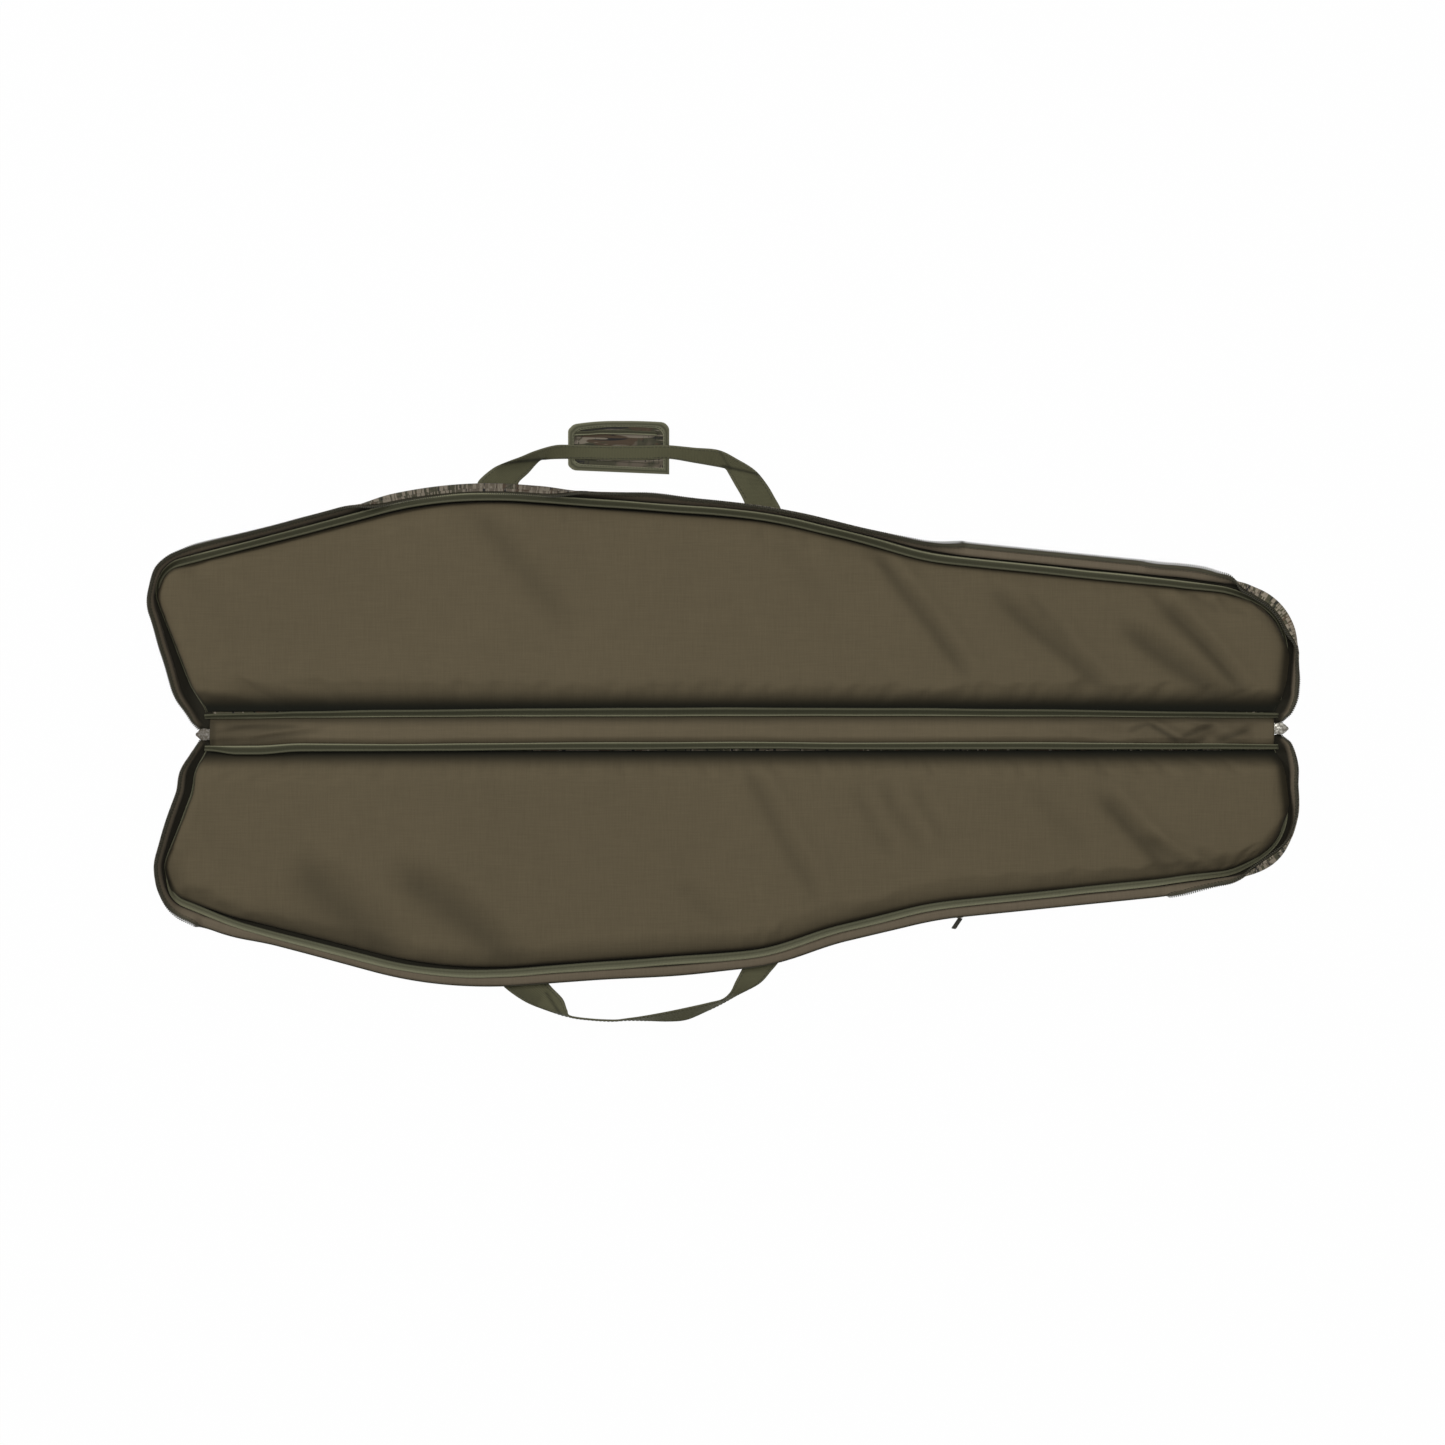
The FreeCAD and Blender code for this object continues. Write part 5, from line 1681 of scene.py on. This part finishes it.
def build_zip_end(where):
    """The closed end of the main zip behind its slider: a short chain and a folded cloth tab."""
    box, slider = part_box(where + "_chain_end"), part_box(where + "_slider")
    first, last = max(box[0].x, slider[0].x + 0.002), min(box[1].x, slider[1].x - 0.002)
    middle = (box[0] + box[1]) / 2
    across, up = [(0, 1, 0)] * 21, [(0, 0, 1)] * 21
    rows = []
    for sign in (-1, 1):
        y = middle.y + sign * 0.0013
        line = [(first + (last - first) * k / 20, y, middle.z) for k in range(21)]
        name = f"{where}_chain_{sign + 1}"
        rows.append(coil(name, line, across, up, ZIP_TURN, 0.0030, 0.0020, ZIP_WIRE))
    chain = join_pieces(where + "_closed_chain", rows)
    dress(chain, "zip coil nylon", "spine", (where + "_chain_end",))
    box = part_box(where + "_end_tab")
    outside = -1 if where == "butt" else 1
    nose = slider[0].x if outside < 0 else slider[1].x
    middle = (box[0].y + box[1].y) / 2

    def place(u, v):
        turn = math.pi * u
        x = nose + outside * (0.0010 * math.sin(turn) - 0.0008)
        y = middle + 0.0018 * (2 * v - 1)
        return Vector((x, y, box[0].z + 0.0014 - 0.0009 * math.cos(turn))), 0.003 * u, y

    tab = cloth_piece(where + "_cloth_tab", 20, 8, place, 0.0006)
    dress(tab, "gusset lining", "spine", (where + "_end_tab",))


# ------------------------------------------------------------------ pocket


# The direction of the pocket's zip, and how far its slider and pull stand from their CAD places.
POCKET_RUN = Vector((0.994958, 0.100288, 0))
POCKET_SHIFT = Vector((-8.5 * MM, 0, 0))


def build_pocket():
    """The zipped pocket under the lower half, its coil, slider and cord pull."""
    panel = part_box("pocket_panel")
    height, long = panel[1].y - panel[0].y, panel[1].x - panel[0].x
    slope = POCKET_RUN.y / POCKET_RUN.x

    def place(u, v):
        x = panel[0].x + long * u
        bottom = panel[0].y + (x - panel[0].x) * slope
        y = bottom + (panel[1].y - bottom) * v
        edge = min(u * 272, (1 - u) * 272, v * 140, (1 - v) * 140)
        z = panel[1].z - 0.0005 - 0.0008 * rounded_share(edge, 12.0)
        return Vector((x, y, z + 0.00025 * ripple(x * 22, y * 22, 0, 22.0))), x, y

    piece = cloth_piece("pocket_cloth", 80, 44, place, 0.0009, 0.0)
    dress(piece, "reed cloth", "lower_half", ("pocket_panel",))
    tape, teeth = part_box("pocket_zip_tape"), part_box("pocket_zip_coil")
    start = Vector((teeth[0].x - 0.0088, teeth[0].y + 0.0042, (teeth[0].z + teeth[1].z) / 2))
    across = Vector((-POCKET_RUN.y, POCKET_RUN.x, 0))
    length = (teeth[1].x - teeth[0].x) / POCKET_RUN.x - 0.018

    def woven(u, v):
        spot = start + POCKET_RUN * (length * u) + across * (0.0042 * v + 0.0006)
        return Vector((spot.x, spot.y, (tape[0].z + tape[1].z) / 2)), length * u, 0.005 * v

    strip = cloth_piece("pocket_woven_tape", 120, 4, woven, 0.0007)
    dress(strip, "zip tape cloth", "lower_half", ("pocket_zip_tape",))
    centres = [start + POCKET_RUN * (length * k / 60) for k in range(61)]
    sides, ups = [across] * 61, [(0, 0, 1)] * 61
    wound = coil("pocket_zip_teeth", centres, sides, ups, 0.0018, 0.0030, 0.0018, 0.0007)
    dress(wound, "zip coil nylon", "lower_half", ("pocket_zip_coil",))
    box = [corner + POCKET_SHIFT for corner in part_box("pocket_slider")]
    parts = [
        slider_plate("pocket_slider_plate", box, 1, box[1].z - 0.0010, box[1].z, 0.0002),
        slider_plate("pocket_slider_under", box, 1, box[0].z, box[0].z + 0.0010, -0.0001),
    ]
    deselect()
    middle = (box[0] + box[1]) / 2
    spot, depth = (middle.x + 0.003, middle.y, middle.z), box[1].z - box[0].z - 0.001
    bpy.ops.mesh.primitive_cylinder_add(vertices=10, radius=0.0011, depth=depth, location=spot)
    settle(bpy.context.object)
    parts.append(bpy.context.object)
    slider = join_pieces("pocket_slider_plate", parts)
    outward(slider)
    dress(slider, "painted slider", "pocket_slider", ("pocket_slider",))
    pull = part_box("pocket_pull")
    centre = (pull[0] + pull[1]) / 2 + POCKET_SHIFT
    top, tip, level = pull[1].y, pull[0].y, centre.z / MM
    first, second = [], []
    for t in (0.0, 0.3, 0.6, 0.9, 1.0):
        y = top + (tip - top) * t
        x = centre.x - 0.0075 * t
        half = 0.0021 if t < 0.95 else 0.0016
        first.append(((x - half) / MM, y / MM, level))
        second.append(((x + half) / MM, (y - 0.0006) / MM, level))
    tab = ribbon("pocket_cord_pull", first, second, 24, pull[1].z - pull[0].z, 4)
    add_modifier(tab, "SUBSURF", levels=1, render_levels=1)
    apply_modifiers(tab)
    dress(tab, "pull cord", "pocket_pull", ("pocket_pull",))


# ------------------------------------------------------------------ stage


CAMERA_SPOT = (0, 0.009, 4.0)
CAMERA_LENS = 94.0


def build_stage():
    """A pale floor, two soft lamps and the camera straight above."""
    deselect()
    bpy.ops.mesh.primitive_grid_add(x_subdivisions=2, y_subdivisions=2, size=40.0, location=(0, 0, -0.0005))
    floor = bpy.context.object
    floor.name = floor.data.name = "stage_floor"
    material = bpy.data.materials.new("stage white")
    material.use_nodes = True
    tree = material.node_tree
    shader = tree.nodes["Principled BSDF"]
    set_inputs(shader, Base_Color=(0.80, 0.80, 0.80, 1), Roughness=0.9, Specular_IOR_Level=0.0)
    glow = tree.nodes.new("ShaderNodeEmission")
    set_inputs(glow, Color=(1, 1, 1, 1), Strength=1.0)
    rays = tree.nodes.new("ShaderNodeLightPath")
    seen = maths(tree, "MAXIMUM", rays.outputs["Is Camera Ray"], rays.outputs["Is Glossy Ray"])
    seen = maths(tree, "MAXIMUM", seen, rays.outputs["Is Transmission Ray"])
    mixed = tree.nodes.new("ShaderNodeMixShader")
    wire(tree, times(tree, seen, 0.985), mixed.inputs[0])
    wire(tree, shader.outputs[0], mixed.inputs[1])
    wire(tree, glow.outputs[0], mixed.inputs[2])
    wire(tree, mixed.outputs[0], tree.nodes["Material Output"].inputs["Surface"])
    floor.data.materials.append(material)

    world = bpy.context.scene.world or bpy.data.worlds.new("studio")
    bpy.context.scene.world = world
    world.use_nodes = True
    sky = world.node_tree.nodes["Background"]
    set_inputs(sky, Color=(1, 1, 1, 1))
    tree = world.node_tree
    rays = tree.nodes.new("ShaderNodeLightPath")
    seen = maths(tree, "MAXIMUM", rays.outputs["Is Camera Ray"], rays.outputs["Is Glossy Ray"])
    wire(tree, ranged(tree, seen, 0.0, 1.0, 0.26, 1.0), sky.inputs["Strength"])

    for name, spot, size, power in (
        ("softbox_above", (0.35, 0.5, 2.9), 1.3, 32.0),
        ("softbox_left", (-4.2, 1.7, 3.0), 1.3, 100.0),
    ):
        deselect()
        bpy.ops.object.light_add(type="AREA", location=spot)
        lamp = bpy.context.object
        lamp.name = name
        lamp.data.shape = "DISK"
        lamp.data.size = size
        lamp.data.energy = power
        lamp.rotation_mode = "QUATERNION"
        lamp.rotation_quaternion = (-Vector(spot)).to_track_quat("-Z", "Y")
    deselect()
    bpy.ops.object.camera_add(location=CAMERA_SPOT, rotation=(0, 0, 0))
    camera = bpy.context.object
    camera.data.sensor_width = 36.0
    camera.data.lens = CAMERA_LENS
    camera.data.clip_end = 50
    bpy.context.scene.camera = camera
    bpy.context.scene.view_settings.view_transform = "Standard"


# ------------------------------------------------------------------ add-on


class CaseSizes(bpy.types.PropertyGroup):
    """Sizes of the cloth parts"""

    pad_crest: FloatProperty(
        name="Pad height", description="Height of a pad's flat top", default=0.0165, unit="LENGTH"
    )
    pad_pressure: FloatProperty(
        name="Pad pressure", description="Pressure that puffs the pads", default=4.0, min=0.0
    )
    binding_thickness: FloatProperty(
        name="Binding thickness", description="Thickness of a bound seam", default=0.0019, unit="LENGTH"
    )
    webbing_thickness: FloatProperty(
        name="Webbing thickness", description="Thickness of the handles", default=0.0019, unit="LENGTH"
    )


def colour_property(label, description, value):
    return FloatVectorProperty(
        name=label, description=description, default=value, size=3, min=0, max=1, subtype="COLOR"
    )


class CaseColours(bpy.types.PropertyGroup):
    """Colours of the cloths, tapes and metal"""

    lining: colour_property("Lining", "Colour of the pads", (0.1205, 0.0965, 0.0565))
    gusset_lining: colour_property("Gusset lining", "Colour of the gusset's inside", (0.154, 0.125, 0.085))
    spine_lining: colour_property("Spine lining", "Colour of the spine's strip", (0.1320, 0.1060, 0.0640))
    binding: colour_property("Binding", "Colour of the bound seams", (0.036, 0.0355, 0.0185))
    # The binding's lighter edge colour is a painted highlight, partly edge wear.
    binding_edge_highlight: colour_property("Binding edge", "Colour of a binding's edges", (0.265, 0.261, 0.166))
    webbing: colour_property("Webbing", "Colour of the handles and straps", (0.100, 0.096, 0.052))
    webbing_edge: colour_property("Webbing edge", "Colour of the webbing's edges", (0.116, 0.112, 0.066))
    zip_tape: colour_property("Zip tape", "Colour of the main zip's tape", (0.076, 0.070, 0.046))
    zip_coil: colour_property("Zip coil", "Colour of the zip coils", (0.054, 0.051, 0.035))
    camo_ground: colour_property("Pattern ground", "Lightest wide colour outside", (0.200, 0.165, 0.120))
    camo_olive: colour_property("Pattern olive", "Green of the outside", (0.090, 0.085, 0.050))
    camo_brown: colour_property("Pattern brown", "Brown of the outside", (0.120, 0.082, 0.050))
    camo_dark: colour_property("Pattern dark", "Darkest marks outside", (0.020, 0.019, 0.018))
    camo_straw: colour_property("Pattern straw", "Lightest marks outside", (0.360, 0.310, 0.235))
    painted: colour_property("Painted slider", "Paint of the butt slider", (0.066, 0.054, 0.035))
    bare: colour_property("Bare slider", "Metal of the muzzle slider", (0.100, 0.092, 0.075))
    pile: colour_property("Hook and loop", "Colour of the hook and loop", (0.030, 0.031, 0.020))
    thread: colour_property("Thread", "Colour of the sewing thread", (0.070, 0.070, 0.045))
    pull_cord: colour_property("Pull cord", "Colour of the pocket's pull", (0.045, 0.045, 0.036))


class CasePiece:
    """What the operators share: each builds its pieces from the two property groups."""

    bl_options = {"REGISTER", "UNDO"}

    def execute(self, context):
        self.build(context.scene.case_sizes, context.scene.case_colours)
        return {"FINISHED"}


class CASE_OT_finishes(CasePiece, bpy.types.Operator):
    """Build the cloth, webbing, nylon and metal finishes"""

    bl_idname = "longcase.finishes"
    bl_label = "Finishes"

    def build(self, sizes, colours):
        build_materials(colours)


class CASE_OT_pads(CasePiece, bpy.types.Operator):
    """Build the two foam pads under their lining"""

    bl_idname = "longcase.pads"
    bl_label = "Pads"

    def build(self, sizes, colours):
        for side in SIDES:
            build_pad(side, sizes)


class CASE_OT_spine(CasePiece, bpy.types.Operator):
    """Build the spine's strip and its two bound seams"""

    bl_idname = "longcase.spine"
    bl_label = "Spine"

    def build(self, sizes, colours):
        build_spine()
        for side in SIDES:
            build_spine_binding(side, sizes)


class CASE_OT_binding(CasePiece, bpy.types.Operator):
    """Build the bound seam round each pad"""

    bl_idname = "longcase.binding"
    bl_label = "Binding"

    def build(self, sizes, colours):
        for side in SIDES:
            build_binding(side, sizes)


class CASE_OT_gussets(CasePiece, bpy.types.Operator):
    """Build the half gussets and the main zip on them"""

    bl_idname = "longcase.gussets"
    bl_label = "Gussets and main zip"

    def build(self, sizes, colours):
        for side in SIDES:
            build_gusset(side)
            build_zip(side)


class CASE_OT_covers(CasePiece, bpy.types.Operator):
    """Build the outside cloth and the webbing sewn under it"""

    bl_idname = "longcase.covers"
    bl_label = "Covers and straps"

    def build(self, sizes, colours):
        for side in SIDES:
            build_cover(side)
        build_spine_cover()
        build_straps()


class CASE_OT_handles(CasePiece, bpy.types.Operator):
    """Build the two carry handles"""

    bl_idname = "longcase.handles"
    bl_label = "Handles"

    def build(self, sizes, colours):
        build_handle(UPPER, UPPER_HANDLE_EDGES, sizes)
        build_handle(LOWER, LOWER_HANDLE_EDGES, sizes)


class CASE_OT_wrap(CasePiece, bpy.types.Operator):
    """Build the padded wrap on the upper handle"""

    bl_idname = "longcase.wrap"
    bl_label = "Handle wrap"

    def build(self, sizes, colours):
        build_wrap()


class CASE_OT_sliders(CasePiece, bpy.types.Operator):
    """Build the main zip's sliders, pulls and closed ends"""

    bl_idname = "longcase.sliders"
    bl_label = "Sliders"

    def build(self, sizes, colours):
        for where, nose, finish, slot in (
            ("butt", -1, "painted slider", "zip_metal_painted"),
            ("muzzle", 1, "bare slider", "zip_metal_bare"),
        ):
            build_slider(where, nose, finish)
            build_pull(where + "_pull", where + "_pull_tab", where + "_pull", finish)
            build_zip_end(where)


class CASE_OT_pocket(CasePiece, bpy.types.Operator):
    """Build the zipped pocket underneath"""

    bl_idname = "longcase.pocket"
    bl_label = "Pocket"

    def build(self, sizes, colours):
        build_pocket()


class CASE_OT_stage(CasePiece, bpy.types.Operator):
    """Build the floor, the lamps and the camera"""

    bl_idname = "longcase.stage"
    bl_label = "Stage"

    def build(self, sizes, colours):
        build_stage()


OPERATORS = (
    CASE_OT_finishes,
    CASE_OT_stage,
    CASE_OT_pads,
    CASE_OT_spine,
    CASE_OT_binding,
    CASE_OT_gussets,
    CASE_OT_covers,
    CASE_OT_handles,
    CASE_OT_wrap,
    CASE_OT_sliders,
    CASE_OT_pocket,
)


class CASE_PT_panel(bpy.types.Panel):
    """Sizes, colours and pieces of the long case"""

    bl_idname = "CASE_PT_panel"
    bl_label = "Long case"
    bl_space_type = "VIEW_3D"
    bl_region_type = "UI"
    bl_category = "Long case"

    def draw(self, context):
        for group in (context.scene.case_sizes, context.scene.case_colours):
            box = self.layout.box()
            for name in group.__annotations__:
                box.prop(group, name)
        for operator in OPERATORS:
            self.layout.operator(operator.bl_idname)


CLASSES = (CaseSizes, CaseColours, *OPERATORS, CASE_PT_panel)


def register():
    for item in CLASSES:
        bpy.utils.register_class(item)
    bpy.types.Scene.case_sizes = PointerProperty(type=CaseSizes)
    bpy.types.Scene.case_colours = PointerProperty(type=CaseColours)


def unregister():
    del bpy.types.Scene.case_sizes
    del bpy.types.Scene.case_colours
    for item in reversed(CLASSES):
        bpy.utils.unregister_class(item)


def main():
    """Builds every piece in order."""
    register()
    bpy.ops.longcase.finishes()
    bpy.ops.longcase.stage()
    bpy.ops.longcase.pads()
    bpy.ops.longcase.spine()
    bpy.ops.longcase.binding()
    bpy.ops.longcase.gussets()
    bpy.ops.longcase.covers()
    bpy.ops.longcase.handles()
    bpy.ops.longcase.wrap()
    bpy.ops.longcase.sliders()
    bpy.ops.longcase.pocket()


if __name__ == "__main__":
    main()
